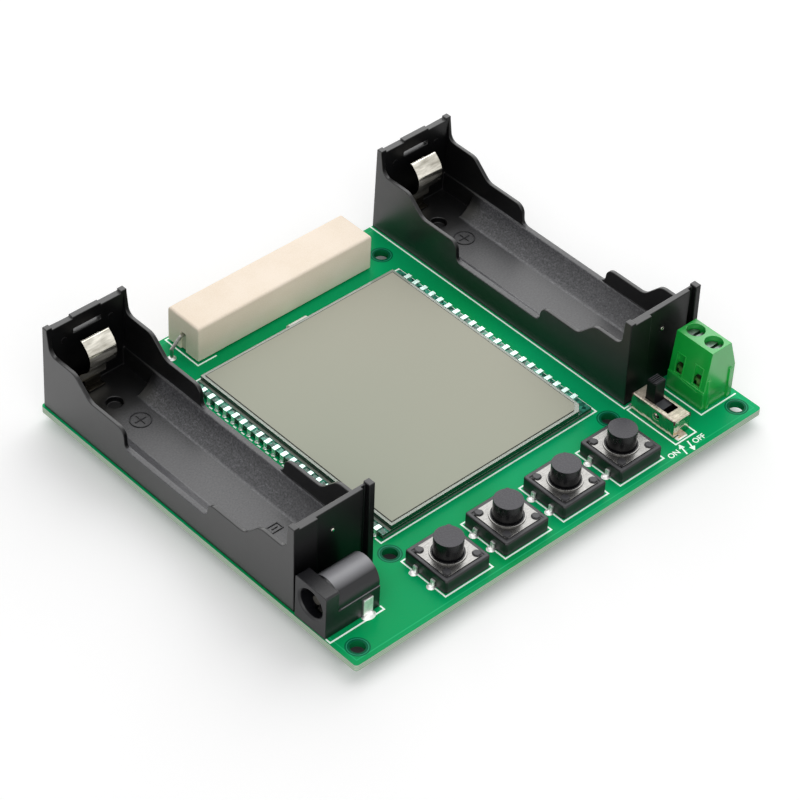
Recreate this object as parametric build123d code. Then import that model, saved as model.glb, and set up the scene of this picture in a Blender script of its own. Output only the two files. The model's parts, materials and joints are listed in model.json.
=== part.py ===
from build123d import *
import math
import os

os.makedirs("parts", exist_ok=True)

# A battery capacity tester: one circuit board that carries two single-cell holders, a segment
# display, a ceramic load resistor, four push buttons, a slide switch, a barrel power jack and a
# two-pole screw terminal. Every length is in millimetres. Places are given from the board's
# front left corner, with z counted up from the board's top face. The front is the button edge.
# On export each piece is moved so that the origin lies on the table under the board's middle.

# Board
board_thickness = 1.6
board_corner_radius = 0.8
standoff = 2.4
short_tail_length = 1.5
hole_clearance = 0.12

# Mounting holes: two in the front corners and four in a rectangle round the display
mount_hole_diameter = 3.2
corner_hole_inset = 3.7
inner_hole_beside_display = 3.65
inner_hole_before_display = 3.7
inner_hole_behind_display = 7.5

# Cell that the holders take
cell_diameter = 18.6
cell_length = 65.0
cell_side_clearance = 0.1

# Cell holders
holder_wall = 0.95
holder_front_plate = 2.3
holder_back_plate = 1.9
holder_height = 20.9
holder_draft = 0.4
holder_floor = 2.0
holder_flat_width = 9.0
holder_low_wall_height = 6.5
holder_low_wall = 1.35
holder_front_shoulder_height = 15.0
holder_front_shoulder_end = 10.3
holder_front_rail_height = 10.4
holder_front_rail_start = 14.7
holder_front_rail_end = 25.6
holder_back_rail_height = 11.3
holder_back_rail_end = 26.1
holder_back_rail_start = 15.3
holder_back_shoulder_height = 15.5
holder_back_shoulder_end = 10.5
holder_rail_slope = 0.4
holder_nub_width = 1.5
holder_nub_height = 0.6
holder_crest_width = 7.3
holder_crest_height = 0.45
holder_pocket_length = 9.8
holder_eye_diameter = 3.6
holder_eye_depth = 1.4
holder_eye_from_back = 10.2
holder_recess_depth = 0.6
holder_recess_start = 6.1
holder_groove_depth = 1.3
holder_groove_width = 1.0
holder_edge_strip = 1.5
holder_slot_height = 1.1
holder_slot_drop = 2.6
holder_shoulder_foot_radius = 2.0
holder_shoulder_radius = 3.2
holder_rail_radius = 2.2
holder_bend_radius = 3.0
holder_low_radius = 1.5
holder_flank_bend_x = 0.62
holder_flank_bend_z = 0.42
holder_row_front = 19.0
left_holder_edge_gap = 0.4
left_holder_back_gap = 0.65
right_holder_edge_gap = 0.9
right_holder_back_gap = 0.1

# Leaf contacts of the holders: a fixed foot with a tail, and a bowed leaf that flexes on it
contact_thickness = 0.4
leaf_width = 7.0
leaf_bow = 5.1
leaf_squeeze = 0.85
leaf_tip_height = 16.5
leaf_tip_gap = 2.1
leaf_tip_curl = 0.25
leaf_tip_drop = 0.9
leaf_root_height = 2.6
leaf_root_lean = 0.2
leaf_crest_drop = 2.6
leaf_crest_rise = 1.4
leaf_bow_height = 12.6
leaf_joint_height = 4.0
leaf_joint_gap = 0.3
leaf_root_radius = 1.6
leaf_bow_radius = 4.2
leaf_tip_radius = 0.4
foot_wall_gap = 0.8
foot_width = 4.2
foot_tail_width = 1.2
foot_ledge = 1.9

# Display
display_width = 54.0
display_depth = 58.5
display_ledge = 2.2
display_front = 22.0
display_left_gap = 5.5
display_right_gap = 6.4
glass_thickness = 1.1
film_thickness = 0.15
film_inset = 0.7
seal_width = 1.1
seal_thickness = 0.1
display_seat_gap = 0.15
display_corner_cut = 1.6
display_plug_width = 5.0
display_plug_depth = 1.4
display_pin_pitch = 2.54
display_pin_count_left = 22
display_pin_count_right = 21
display_first_pin_drop = 3.0
display_clip_thickness = 0.3
display_clip_grip = 1.3
display_pin_width = 1.0

# Load resistor
resistor_length = 48.6
resistor_width = 9.9
resistor_height = 8.9
resistor_seat_gap = 0.4
resistor_gap = 5.4
resistor_back_gap = 1.0
resistor_shift = 1.2
resistor_edge_cut = 0.35
resistor_wall = 1.4
resistor_end_wall = 2.2
resistor_slot_width = 1.5
resistor_slot_above_lead = 0.1
resistor_cement_step = 0.35
lead_diameter = 0.8
lead_height = 4.3
lead_reach = 3.1
lead_knee = 0.6
lead_lean = 2.3

# Push buttons
button_size = 12.0
button_height = 3.3
button_pitch = 16.15
button_first_x = 32.0
button_row_y = 8.9
button_count = 4
button_floor = 0.9
button_rim = 1.0
button_cover_thickness = 0.3
button_cover_corner = 0.7
button_cover_sink = 0.15
button_cover_fit = 0.05
button_corner_cut = 0.4
button_edge_cut = 0.25
button_rivet_fit = 0.02
plunger_top_gap = 0.05
button_post_inset = 1.0
button_post_diameter = 1.7
button_post_proud = 0.25
plunger_diameter = 6.2
plunger_top = 7.7
plunger_flange_step = 0.65
plunger_flange_thickness = 0.9
plunger_boss_diameter = 2.2
plunger_guide_clearance = 0.2
plunger_travel = 0.3
dome_side_gap = 0.5
dome_top_diameter = 3.0
dome_rise = 0.35
dome_thickness = 0.12
dome_gap = 0.1
button_tail_gap = 0.25
button_tail_spacing_y = 5.0
button_tail_width = 1.0
button_tail_thickness = 0.35
button_tail_height = 1.6

# Slide switch
switch_width = 4.8
switch_length = 12.1
switch_height = 4.65
switch_sheet = 0.3
switch_after_buttons = 14.35
switch_y = 11.45
switch_floor = 1.3
switch_travel = 4.0
switch_knob_width = 2.9
switch_knob_length = 2.45
switch_knob_top = 9.6
switch_knob_clearance = 0.12
switch_block_end_gap = 0.25
switch_block_top_gap = 0.2
switch_block_clearance = 0.15
switch_rib_count = 4
switch_rib_depth = 0.25
switch_tail_pitch = 3.0
switch_tail_width = 0.6
switch_leg_width = 1.6
switch_leg_reach = 0.7
switch_lift = 0.1
switch_fold_radius = 0.45
switch_base_fit = 0.02

# Barrel power jack
jack_edge_gap = 0.1
jack_y = 13.45
jack_flange_side = 0.2
jack_flange_top = 0.35
jack_length = 14.1
jack_flange = 3.4
jack_axis_height = 6.3
jack_barrel_wall = 1.05
jack_bore_diameter = 6.4
jack_bore_depth = 9.6
jack_pin_diameter = 2.0
jack_pin_setback = 1.6
jack_ledge_height = 5.6
jack_ledge_step = 0.25
jack_mouth_cut = 0.4
jack_flange_cut = 0.3
jack_pin_neck = 1.6
jack_lug_width = 2.4
jack_lug_height = 4.4
jack_lug_setback = 0.9
jack_tail_pitch = 6.0
jack_side_lug_x = 10.8
jack_sheet = 0.4
jack_spring_width = 2.2
jack_spring_sheet = 0.3
jack_spring_rise = 0.45
jack_spring_tip_x = 2.9
jack_spring_tip_drop = 1.0
jack_spring_crest_x = 5.2
jack_spring_pivot_x = 10.6
jack_spring_pivot_height = 1.6
jack_spring_joint_gap = 0.25
jack_spring_strip_height = 0.6
jack_spring_side_clearance = 0.3

# Screw terminal
terminal_pitch = 5.08
terminal_poles = 2
terminal_face_reach = 2.5
terminal_edge_gap = 1.3
terminal_after_switch = 8.3
terminal_front = 7.5
terminal_step_height = 4.9
terminal_lean_in = 1.4
terminal_top_width = 5.7
terminal_wire_face_height = 8.2
terminal_wall = 0.85
terminal_window_width = 2.0
terminal_window_height = 4.9
terminal_window_open_height = 2.5
terminal_window_recess = 1.3
terminal_window_sill = 0.2
terminal_step = 0.25
terminal_rib_width = 0.9
terminal_rib_proud = 0.35
terminal_rib_height = 7.8
terminal_rib_inset = 1.4
well_diameter = 4.0
well_shoulder = 0.8
terminal_entry_width = 3.6
terminal_entry_sill = 0.2
terminal_entry_head = 0.1
cage_width = 3.7
cage_length = 4.6
cage_wall = 0.7
cage_side_wall = 0.5
cage_rest_height = 2.0
cage_travel = 2.4
cage_clearance = 0.2
cage_to_tail = 0.25
screw_diameter = 2.5
screw_head_diameter = 3.7
screw_head_height = 1.9
screw_slot_width = 0.7
screw_slot_depth = 0.8
screw_guide_clearance = 0.08
screw_end_gap = 0.1
screw_head_gap = 0.05
screw_head_sink = 1.35
bar_width = 1.8
bar_thickness = 0.8
bar_lower_gap = 0.8
bar_upper_gap = 0.8

# Parts on the underside, beneath the display
chip_size = 7.0
chip_height = 1.4
chip_lift = 0.1
chip_corner_cut = 0.3
chip_lead_pitch = 0.8
chip_leads_per_side = 5
chip_lead_width = 0.35
chip_lead_reach = 1.0
chip_lead_thickness = 0.2
power_body_width = 6.6
power_body_depth = 6.1
power_body_height = 2.2
power_tab_width = 5.4
power_tab_reach = 1.1
power_sheet = 0.5
power_leg_pitch = 4.6
power_leg_width = 0.8
power_leg_reach = 2.0
regulator_width = 4.5
regulator_depth = 2.5
regulator_height = 1.5
regulator_leg_pitch = 1.5
regulator_leg_width = 0.5
regulator_leg_thickness = 0.3
regulator_leg_reach = 0.9
chip_part_length = 2.0
chip_part_width = 1.25
chip_part_height = 0.6
chip_part_pitch = 3.2
chip_part_count = 8
underside_spread_x = 13.0
underside_spread_y = 17.0
underside_row_gap = 24.0

# Holders: sizes worked out from the driving ones
holder_inner_width = cell_diameter + 2 * cell_side_clearance
holder_width = holder_inner_width + 2 * holder_wall
leaf_room = leaf_bow - leaf_squeeze
holder_length = holder_front_plate + holder_back_plate + cell_length + 2 * leaf_room

# Terminal: sizes worked out from the driving ones
terminal_depth = terminal_pitch * terminal_poles
cage_from_back_face = terminal_wall + cage_clearance + bar_thickness + cage_to_tail
terminal_width = cage_from_back_face + cage_length + terminal_face_reach
bar_height = cage_rest_height + cage_wall + cage_travel + bar_lower_gap
cage_height = bar_height + bar_thickness + bar_upper_gap + cage_wall - cage_rest_height
chamber_top = cage_rest_height + cage_height + cage_travel + cage_clearance
well_floor = chamber_top + well_shoulder
terminal_height = well_floor + screw_head_gap + screw_head_height + screw_head_sink

# Board: as wide as its widest row, and as deep as its deepest one
display_pin_reach = display_width / 2 + display_ledge + display_clip_thickness
switch_cx = button_first_x + (button_count - 1) * button_pitch + switch_after_buttons
front_row_width = switch_cx + terminal_after_switch + terminal_width + terminal_edge_gap
holders_width = left_holder_edge_gap + 2 * holder_width + right_holder_edge_gap
display_row_width = holders_width + display_left_gap + 2 * display_pin_reach + display_right_gap
board_width = max(front_row_width, display_row_width)
display_back = display_front + display_depth
resistor_y = display_back + resistor_gap
holder_row_depth = holder_row_front + holder_length + right_holder_back_gap
board_depth = max(resistor_y + resistor_width + resistor_back_gap, holder_row_depth)

# Places on the board
left_holder_x = left_holder_edge_gap
left_holder_y = board_depth - left_holder_back_gap - holder_length
right_holder_x = board_width - right_holder_edge_gap - holder_width
right_holder_y = board_depth - right_holder_back_gap - holder_length
display_room = right_holder_x - left_holder_x - holder_width
display_cx = left_holder_x + holder_width + (display_room + display_left_gap - display_right_gap) / 2
inner_hole_spacing_x = display_width + 2 * inner_hole_beside_display
resistor_x = display_cx + resistor_shift - resistor_length / 2
resistor_cy = resistor_y + resistor_width / 2
resistor_slot_height = lead_height + lead_diameter / 2 + resistor_slot_above_lead
terminal_x = board_width - terminal_edge_gap - terminal_width
cage_cx = terminal_x + cage_from_back_face + cage_length / 2

# Display, buttons, switch and jack: sizes worked out from the driving ones
rear_glass_z = display_seat_gap + film_thickness
front_glass_z = rear_glass_z + glass_thickness + seal_thickness
button_cover_size = button_size - 2 * button_rim
button_post_spacing = button_cover_size - 2 * button_post_inset
button_tail_spacing_x = button_size + 2 * button_tail_gap
plunger_hole_diameter = plunger_diameter + 2 * plunger_guide_clearance
plunger_flange_diameter = plunger_diameter + 2 * plunger_flange_step
plunger_cavity_diameter = plunger_flange_diameter + 2 * plunger_guide_clearance
dome_diameter = plunger_cavity_diameter - 2 * dome_side_gap
plunger_base = button_floor + dome_rise + dome_gap + plunger_travel
switch_block_length = switch_length - 2 * switch_sheet - switch_travel - 2 * switch_block_end_gap
switch_block_z = switch_floor + switch_block_clearance
switch_block_height = switch_height - switch_sheet - switch_block_top_gap - switch_block_z
jack_x = jack_edge_gap
jack_barrel_radius = jack_bore_diameter / 2 + jack_barrel_wall
jack_width = 2 * (jack_barrel_radius + jack_flange_side)
jack_height = jack_axis_height + jack_barrel_radius + jack_flange_top


def block(x, y, z, width, depth, height):
    """Box from its low corner."""
    return Pos(x, y, z) * Box(width, depth, height, align=(Align.MIN, Align.MIN, Align.MIN))


def post(x, y, z, diameter, height):
    """Upright cylinder from the middle of its foot."""
    return Pos(x, y, z) * Cylinder(diameter / 2, height, align=(Align.CENTER, Align.CENTER, Align.MIN))


def stud(x, y, z, diameter, height):
    """Upright six-sided post, for small or hidden round pieces."""
    flats = RegularPolygon(diameter / 2, 6, major_radius=False)
    return Pos(x, y, z) * extrude(flats, amount=height)


def turning_post(x, y, z, diameter, height):
    """Upright eight-sided post with its corners on the diameter, for a round piece that turns."""
    return Pos(x, y, z) * extrude(RegularPolygon(diameter / 2, 8), amount=height)


def from_side(outline, x, width):
    """Solid with an outline drawn as (y, z), reaching from x towards the right."""
    plane = Plane(origin=(x, 0, 0), x_dir=(0, 1, 0), z_dir=(1, 0, 0))
    return extrude(plane * make_face(outline), amount=width)


def from_front(outline, y, depth):
    """Solid with an outline drawn as (x, z), reaching from y towards the back."""
    plane = Plane(origin=(0, y, 0), x_dir=(1, 0, 0), z_dir=(0, -1, 0))
    return extrude(plane * make_face(outline), amount=-depth)


def rounded_plate(x, y, z, width, depth, height, radius):
    """Flat plate with rounded upright edges, from its low corner."""
    middle = Pos(x + width / 2, y + depth / 2, z)
    return middle * extrude(RectangleRounded(width, depth, radius), amount=height)


def save(name, *solids):
    """Write one node, moved from the board's corner to the origin on the table."""
    shift = Pos(-board_width / 2, -board_depth / 2, standoff + board_thickness)
    pieces = [shift * solid for one in solids for solid in one.solids()]
    shape = pieces[0] if len(pieces) == 1 else Compound(children=pieces)
    export_step(shape, os.path.join("parts", name + ".step"))


def holder_places():
    """Name and low corner of each cell holder."""
    return [("left", left_holder_x, left_holder_y), ("right", right_holder_x, right_holder_y)]


def contact_tail_places(x, y):
    """Middles of the two contact tails of the holder whose low corner is given."""
    inset_front = holder_front_plate + foot_wall_gap + contact_thickness / 2
    inset_back = holder_back_plate + foot_wall_gap + contact_thickness / 2
    middle = x + holder_width / 2
    return [(middle, y + inset_front), (middle, y + holder_length - inset_back)]


def display_pin_places():
    """Middle of each display pin, with the side of the glass that it grips."""
    reach = display_width / 2 + display_ledge + display_clip_thickness / 2
    first = display_back - display_first_pin_drop
    pins = []
    for side, count in ((-1, display_pin_count_left), (1, display_pin_count_right)):
        for i in range(count):
            pins.append((display_cx + side * reach, first - i * display_pin_pitch, side))
    return pins


def button_centres():
    return [(button_first_x + i * button_pitch, button_row_y) for i in range(button_count)]


def button_tail_places():
    """Middle of each button tail, with the side of the button that it is on."""
    places = []
    for x, y in button_centres():
        for side in (-1, 1):
            for end in (-1, 1):
                tail_x = x + side * button_tail_spacing_x / 2
                places.append((tail_x, y + end * button_tail_spacing_y / 2, side))
    return places


def switch_tail_places():
    return [(switch_cx, switch_y + i * switch_tail_pitch) for i in (-1, 0, 1)]


def switch_leg_places():
    reach = switch_length / 2 + switch_leg_reach
    return [(switch_cx, switch_y - reach), (switch_cx, switch_y + reach)]


def pole_centres():
    return [terminal_front + (i + 0.5) * terminal_pitch for i in range(terminal_poles)]


def terminal_tail_places():
    return [(terminal_x + terminal_wall + bar_thickness / 2 + cage_clearance, y) for y in pole_centres()]


def lead_places():
    return [(resistor_x - lead_reach, resistor_cy), (resistor_x + resistor_length + lead_reach, resistor_cy)]


def jack_tail_places():
    """Middles of the jack's tails: rear lug, side lug and sleeve spring."""
    rear_x = jack_x + jack_length - jack_lug_setback
    side = (jack_x + jack_side_lug_x, jack_y - jack_width / 2 - jack_sheet / 2)
    return [(rear_x, jack_y), side, (rear_x - jack_tail_pitch, jack_y)]


def mount_hole_places():
    right = board_width - corner_hole_inset
    corners = [(corner_hole_inset, corner_hole_inset), (right, corner_hole_inset)]
    inner = []
    for side in (-1, 1):
        for y in (display_front - inner_hole_before_display, display_back + inner_hole_behind_display):
            x = display_cx + side * inner_hole_spacing_x / 2
            inner.append((x, y))
    return corners + inner


def flat_tail_sizes():
    """Middle, width and depth of every flat tail that goes through the board."""
    tails = []
    for name, holder_x, holder_y in holder_places():
        places = contact_tail_places(holder_x, holder_y)
        tails += [(x, y, foot_tail_width, contact_thickness) for x, y in places]
    tails += [(x, y, display_clip_thickness, display_pin_width) for x, y, side in display_pin_places()]
    tails += [(x, y, button_tail_thickness, button_tail_width) for x, y, side in button_tail_places()]
    tails += [(x, y, switch_tail_width, switch_sheet) for x, y in switch_tail_places()]
    tails += [(x, y, switch_leg_width, switch_sheet) for x, y in switch_leg_places()]
    tails += [(x, y, bar_thickness, bar_thickness) for x, y in terminal_tail_places()]
    (rear_x, rear_y), (side_x, side_y), (spring_x, spring_y) = jack_tail_places()
    tails.append((rear_x, rear_y, jack_sheet, jack_lug_width))
    tails.append((side_x, side_y, jack_lug_width, jack_sheet))
    tails.append((spring_x, spring_y, jack_sheet, jack_spring_width))
    return tails


def circuit_board():
    """Board with its mounting holes, a slot for each flat tail and a hole for each round lead."""
    bottom = -board_thickness
    board = rounded_plate(0, 0, bottom, board_width, board_depth, board_thickness, board_corner_radius)
    cuts = [post(x, y, bottom, mount_hole_diameter, board_thickness) for x, y in mount_hole_places()]
    for x, y in lead_places():
        cuts.append(stud(x, y, bottom, lead_diameter + 2 * hole_clearance, board_thickness))
    for x, y, width, depth in flat_tail_sizes():
        slot_width = width + 2 * hole_clearance
        slot_depth = depth + 2 * hole_clearance
        cuts.append(block(x - slot_width / 2, y - slot_depth / 2, bottom, slot_width, slot_depth,
                          board_thickness))
    return board - cuts


def holder_wall_outline():
    """Side view of a holder as (y, z): end plates, shoulders, rails and the low wall between them."""
    length = holder_length
    front_inner = holder_front_plate
    back_inner = length - holder_back_plate
    slope = holder_rail_slope
    points = [
        (0, 0),
        (holder_draft, holder_height),
        (front_inner, holder_height),
        (front_inner + slope, holder_front_shoulder_height),
        (holder_front_shoulder_end, holder_front_shoulder_height),
        (holder_front_rail_start, holder_front_rail_height),
        (holder_front_rail_end, holder_front_rail_height),
        (holder_front_rail_end + slope, holder_low_wall_height),
        (length - holder_back_rail_end - slope, holder_low_wall_height),
        (length - holder_back_rail_end, holder_back_rail_height),
        (length - holder_back_rail_start, holder_back_rail_height),
        (length - holder_back_shoulder_end, holder_back_shoulder_height),
        (back_inner - 2 * slope, holder_back_shoulder_height),
        (back_inner, holder_height),
        (length - holder_draft, holder_height),
        (length, 0),
    ]
    foot = holder_shoulder_foot_radius
    shoulder = holder_shoulder_radius
    bend = holder_bend_radius
    rail = holder_rail_radius
    low = holder_low_radius
    radii = [0, 0, 0, foot, shoulder, bend, rail, low, low, rail, bend, shoulder, foot, 0, 0, 0]
    return FilletPolyline(*points, radius=radii, close=True)


def cradle_outline(middle):
    """Cross-section of the cell's seat as (x, z): flat floor with a curved flank each side."""
    half_flat = holder_flat_width / 2
    half_top = holder_width / 2 - holder_low_wall
    top = holder_low_wall_height
    bend_x = half_flat + (half_top - half_flat) * holder_flank_bend_x
    bend_z = holder_floor + (top - holder_floor) * holder_flank_bend_z
    floor_line = Line((middle - half_flat, holder_floor), (middle + half_flat, holder_floor))
    right = ThreePointArc((middle + half_flat, holder_floor), (middle + bend_x, bend_z),
                          (middle + half_top, top))
    left = ThreePointArc((middle - half_flat, holder_floor), (middle - bend_x, bend_z),
                         (middle - half_top, top))
    lid = Line((middle - half_top, top), (middle + half_top, top))
    return Curve() + [floor_line, right, lid, left]


def holder_end_details(x, y):
    """Nubs and crest on the end plates, added to the body."""
    top = holder_height
    back = y + holder_length - holder_back_plate
    back_depth = holder_back_plate - holder_draft
    front_depth = holder_front_plate - holder_draft
    right_nub = x + holder_width - holder_nub_width
    crest_x = x + holder_width / 2 - holder_crest_width / 2
    nubs = []
    for nub_x in (x, right_nub):
        nubs.append(block(nub_x, back, top, holder_nub_width, back_depth, holder_nub_height))
        nubs.append(block(nub_x, y + holder_draft, top, holder_nub_width, front_depth, holder_nub_height))
    crest = block(crest_x, back, top, holder_crest_width, back_depth, holder_crest_height)
    return nubs + [crest]


def holder_end_cuts(x, y):
    """Recess and groove in the front plate's face, and the slot in the back plate."""
    high = holder_height + holder_nub_height
    recess_end = holder_width - holder_edge_strip
    recess_width = recess_end - holder_recess_start
    recess = block(x + holder_recess_start, y, 0, recess_width, holder_draft + holder_recess_depth, high)
    groove_x = x + recess_end - holder_groove_width
    groove = block(groove_x, y, 0, holder_groove_width, holder_draft + holder_groove_depth, high)
    slot_z = holder_height - holder_slot_drop - holder_slot_height
    slot_y = y + holder_length - holder_back_plate
    slot_x = x + holder_width / 2 - leaf_width / 2
    slot = block(slot_x, slot_y, slot_z, leaf_width, holder_back_plate, holder_slot_height)
    return [recess, groove, slot]


def holder_body(x, y):
    """Moulded cell holder, open at the top, with a blind eye and a slot for each tail in its floor."""
    middle = x + holder_width / 2
    body = Pos(0, y, 0) * from_side(holder_wall_outline(), x, holder_width)
    inner_y = y + holder_front_plate
    inner_length = holder_length - holder_front_plate - holder_back_plate
    upper_height = holder_height - holder_low_wall_height + holder_nub_height
    bay = block(x + holder_wall, inner_y, holder_low_wall_height, holder_inner_width, inner_length,
                upper_height)
    pocket_y = y + holder_length - holder_back_plate - holder_pocket_length
    cradle = from_front(cradle_outline(middle), inner_y, pocket_y - inner_y)
    pocket = block(x + holder_low_wall, pocket_y, holder_floor, holder_width - 2 * holder_low_wall,
                   holder_pocket_length, holder_low_wall_height - holder_floor)
    eye_y = y + holder_length - holder_eye_from_back
    eye = post(middle, eye_y, holder_floor - holder_eye_depth, holder_eye_diameter, holder_eye_depth)
    body = body - bay - cradle - pocket - eye
    slot_width = foot_tail_width + 4 * hole_clearance
    slot_depth = contact_thickness + 4 * hole_clearance
    for tail_x, tail_y in contact_tail_places(x, y):
        body -= block(tail_x - slot_width / 2, tail_y - slot_depth / 2, 0, slot_width, slot_depth,
                      holder_floor)
    body = body + holder_end_details(x, y)
    return body - holder_end_cuts(x, y)


def leaf_path():
    """Centre line of a leaf as (distance from the end wall, height)."""
    foot = foot_wall_gap + contact_thickness / 2
    crest = leaf_bow - contact_thickness / 2
    start = leaf_joint_height + leaf_joint_gap
    points = [
        (foot, start),
        (foot + leaf_root_lean, start + leaf_root_height),
        (crest, leaf_bow_height - leaf_crest_drop),
        (crest, leaf_bow_height + leaf_crest_rise),
        (leaf_tip_gap, leaf_tip_height),
        (leaf_tip_gap - leaf_tip_curl, leaf_tip_height - leaf_tip_drop),
    ]
    radii = [leaf_root_radius, leaf_bow_radius, leaf_bow_radius, leaf_tip_radius]
    return FilletPolyline(*points, radius=radii)


def contact_leaf(x, wall_y, inward):
    """Bowed strip in front of an end wall; inward is +1 or -1 along y, away from the wall."""
    strip = trace(leaf_path(), contact_thickness)
    plane = Plane(origin=(x, wall_y, 0), x_dir=(0, inward, 0), z_dir=(inward, 0, 0))
    start = -leaf_width / 2
    return extrude(plane.offset(start) * strip, amount=leaf_width)


def contact_foot(x, wall_y, inward):
    """Fixed foot on the holder's floor with the tail that goes through the board."""
    near = foot_wall_gap
    y0 = wall_y + inward * near
    low_y = min(y0, y0 + inward * contact_thickness)
    stem = block(x - foot_width / 2, low_y, holder_floor, foot_width, contact_thickness,
                 leaf_joint_height - holder_floor)
    ledge_y = min(y0, y0 + inward * foot_ledge)
    ledge = block(x - foot_width / 2, ledge_y, holder_floor, foot_width, foot_ledge, contact_thickness)
    tail_length = holder_floor + board_thickness + standoff
    tail = block(x - foot_tail_width / 2, low_y, -board_thickness - standoff, foot_tail_width,
                 contact_thickness, tail_length)
    return stem + ledge + tail


def save_holders():
    for name, x, y in holder_places():
        middle = x + holder_width / 2
        front_wall = y + holder_front_plate
        back_wall = y + holder_length - holder_back_plate
        save(name + "_holder_body", holder_body(x, y))
        save(name + "_front_contact_foot", contact_foot(middle, front_wall, 1))
        save(name + "_front_contact_leaf", contact_leaf(middle, front_wall, 1))
        save(name + "_back_contact_foot", contact_foot(middle, back_wall, -1))
        save(name + "_back_contact_leaf", contact_leaf(middle, back_wall, -1))


def glass_plate(z, width, corner_cut):
    """Glass pane of the display, with one front corner cut off when corner_cut is above zero."""
    left = display_cx - width / 2
    pane = block(left, display_front, z, width, display_depth, glass_thickness)
    if corner_cut > 0:
        edge = pane.edges().filter_by(Axis.Z).sort_by(Axis.X)[-2:].sort_by(Axis.Y)[0]
        pane = chamfer(edge, corner_cut)
    return pane


def display_film(z, corner_cut):
    """Reflector or polariser, inset from the pane that it is stuck to."""
    width = display_width - 2 * film_inset
    depth = display_depth - 2 * film_inset
    film = block(display_cx - width / 2, display_front + film_inset, z, width, depth, film_thickness)
    if corner_cut > 0:
        edge = film.edges().filter_by(Axis.Z).sort_by(Axis.X)[-2:].sort_by(Axis.Y)[0]
        film = chamfer(edge, corner_cut)
    return film


def display_fill_plug():
    """Bead of resin that closes the filling gap on the display's back edge."""
    radius = glass_thickness + seal_thickness / 2
    left = display_cx - display_plug_width / 2
    bead = Cylinder(radius, display_plug_width, align=(Align.CENTER, Align.CENTER, Align.MIN))
    bead = Pos(left, display_back, rear_glass_z + radius) * Rot(0, 90, 0) * bead
    reach = block(left, display_back, rear_glass_z, display_plug_width, display_plug_depth, 2 * radius)
    return bead & reach


def display_seal():
    """Printed seal that holds the liquid crystal between the two panes."""
    z = rear_glass_z + glass_thickness
    outer_width = display_width - 2 * display_corner_cut
    outer_depth = display_depth - 2 * display_corner_cut
    left = display_cx - outer_width / 2
    front = display_front + display_corner_cut
    outer = block(left, front, z, outer_width, outer_depth, seal_thickness)
    inner = block(left + seal_width, front + seal_width, z, outer_width - 2 * seal_width,
                  outer_depth - 2 * seal_width, seal_thickness)
    return outer - inner


def liquid_crystal():
    z = rear_glass_z + glass_thickness
    inset = display_corner_cut + seal_width
    width = display_width - 2 * inset
    depth = display_depth - 2 * inset
    return block(display_cx - width / 2, display_front + inset, z, width, depth, seal_thickness)


def display_pin(x, y, side):
    """Pin with a hook that holds the rear pane's edge, bent down and through the board."""
    edge = display_cx + side * (display_width / 2 + display_ledge)
    outer = edge + side * display_clip_thickness
    inner = edge - side * display_clip_grip
    upper = rear_glass_z + glass_thickness
    tip = -board_thickness - short_tail_length
    points = [
        (inner, upper), (edge, upper), (edge, tip), (outer, tip),
        (outer, upper + display_clip_thickness), (inner, upper + display_clip_thickness),
    ]
    return from_front(Polyline(*points, close=True), y - display_pin_width / 2, display_pin_width)


def save_display():
    rear_width = display_width + 2 * display_ledge
    save("display_reflector", display_film(display_seat_gap, 0))
    save("display_rear_glass", glass_plate(rear_glass_z, rear_width, 0))
    save("display_seal", display_seal())
    save("display_liquid_crystal", liquid_crystal())
    save("display_front_glass", glass_plate(front_glass_z, display_width, display_corner_cut))
    save("display_polariser", display_film(front_glass_z + glass_thickness, display_corner_cut))
    save("display_fill_plug", display_fill_plug())
    save("display_pins", *[display_pin(x, y, side) for x, y, side in display_pin_places()])


def resistor_case():
    """Ceramic trough, open below, with a slot in each end for a lead."""
    z = resistor_seat_gap
    case = block(resistor_x, resistor_y, z, resistor_length, resistor_width, resistor_height)
    case = chamfer(case.edges().group_by(Axis.Z)[-1], resistor_edge_cut)
    hollow = block(resistor_x + resistor_end_wall, resistor_y + resistor_wall, z,
                   resistor_length - 2 * resistor_end_wall, resistor_width - 2 * resistor_wall,
                   resistor_height - resistor_wall)
    slots = [block(x, resistor_cy - resistor_slot_width / 2, z, resistor_end_wall, resistor_slot_width,
                   resistor_slot_height)
             for x in (resistor_x, resistor_x + resistor_length - resistor_end_wall)]
    return case - hollow - slots


def resistor_cement():
    """Cement that fills the trough and the slots in its ends, round the leads."""
    z = resistor_seat_gap + resistor_cement_step
    cement = block(resistor_x + resistor_end_wall, resistor_y + resistor_wall, z,
                   resistor_length - 2 * resistor_end_wall, resistor_width - 2 * resistor_wall,
                   resistor_height - resistor_wall - resistor_cement_step)
    neck_height = resistor_slot_height - resistor_cement_step
    neck_length = resistor_end_wall - resistor_cement_step
    for x in (resistor_x + resistor_cement_step, resistor_x + resistor_length - resistor_end_wall):
        cement += block(x, resistor_cy - resistor_slot_width / 2, z, neck_length, resistor_slot_width,
                        neck_height)
    return cement - resistor_leads()


def resistor_lead(inner_x, outer_x):
    """Round lead that leaves one end of the case, leans down and goes through the board."""
    z = resistor_seat_gap + lead_height
    outward = math.copysign(1, outer_x - inner_x)
    knee_x = outer_x - outward * (lead_reach - lead_knee)
    tip = -board_thickness - short_tail_length
    knee = (knee_x, resistor_cy, z)
    elbow = (outer_x, resistor_cy, z - lead_lean)
    path = Polyline((inner_x, resistor_cy, z), knee, elbow, (outer_x, resistor_cy, tip))
    start = Plane(origin=path @ 0, z_dir=path % 0)
    return sweep(start * RegularPolygon(lead_diameter / 2, 8), path=path, transition=Transition.RIGHT)


def resistor_leads():
    (left_x, _), (right_x, _) = lead_places()
    inner_left = resistor_x + resistor_end_wall
    inner_right = resistor_x + resistor_length - resistor_end_wall
    return [resistor_lead(inner_left, left_x), resistor_lead(inner_right, right_x)]


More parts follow.
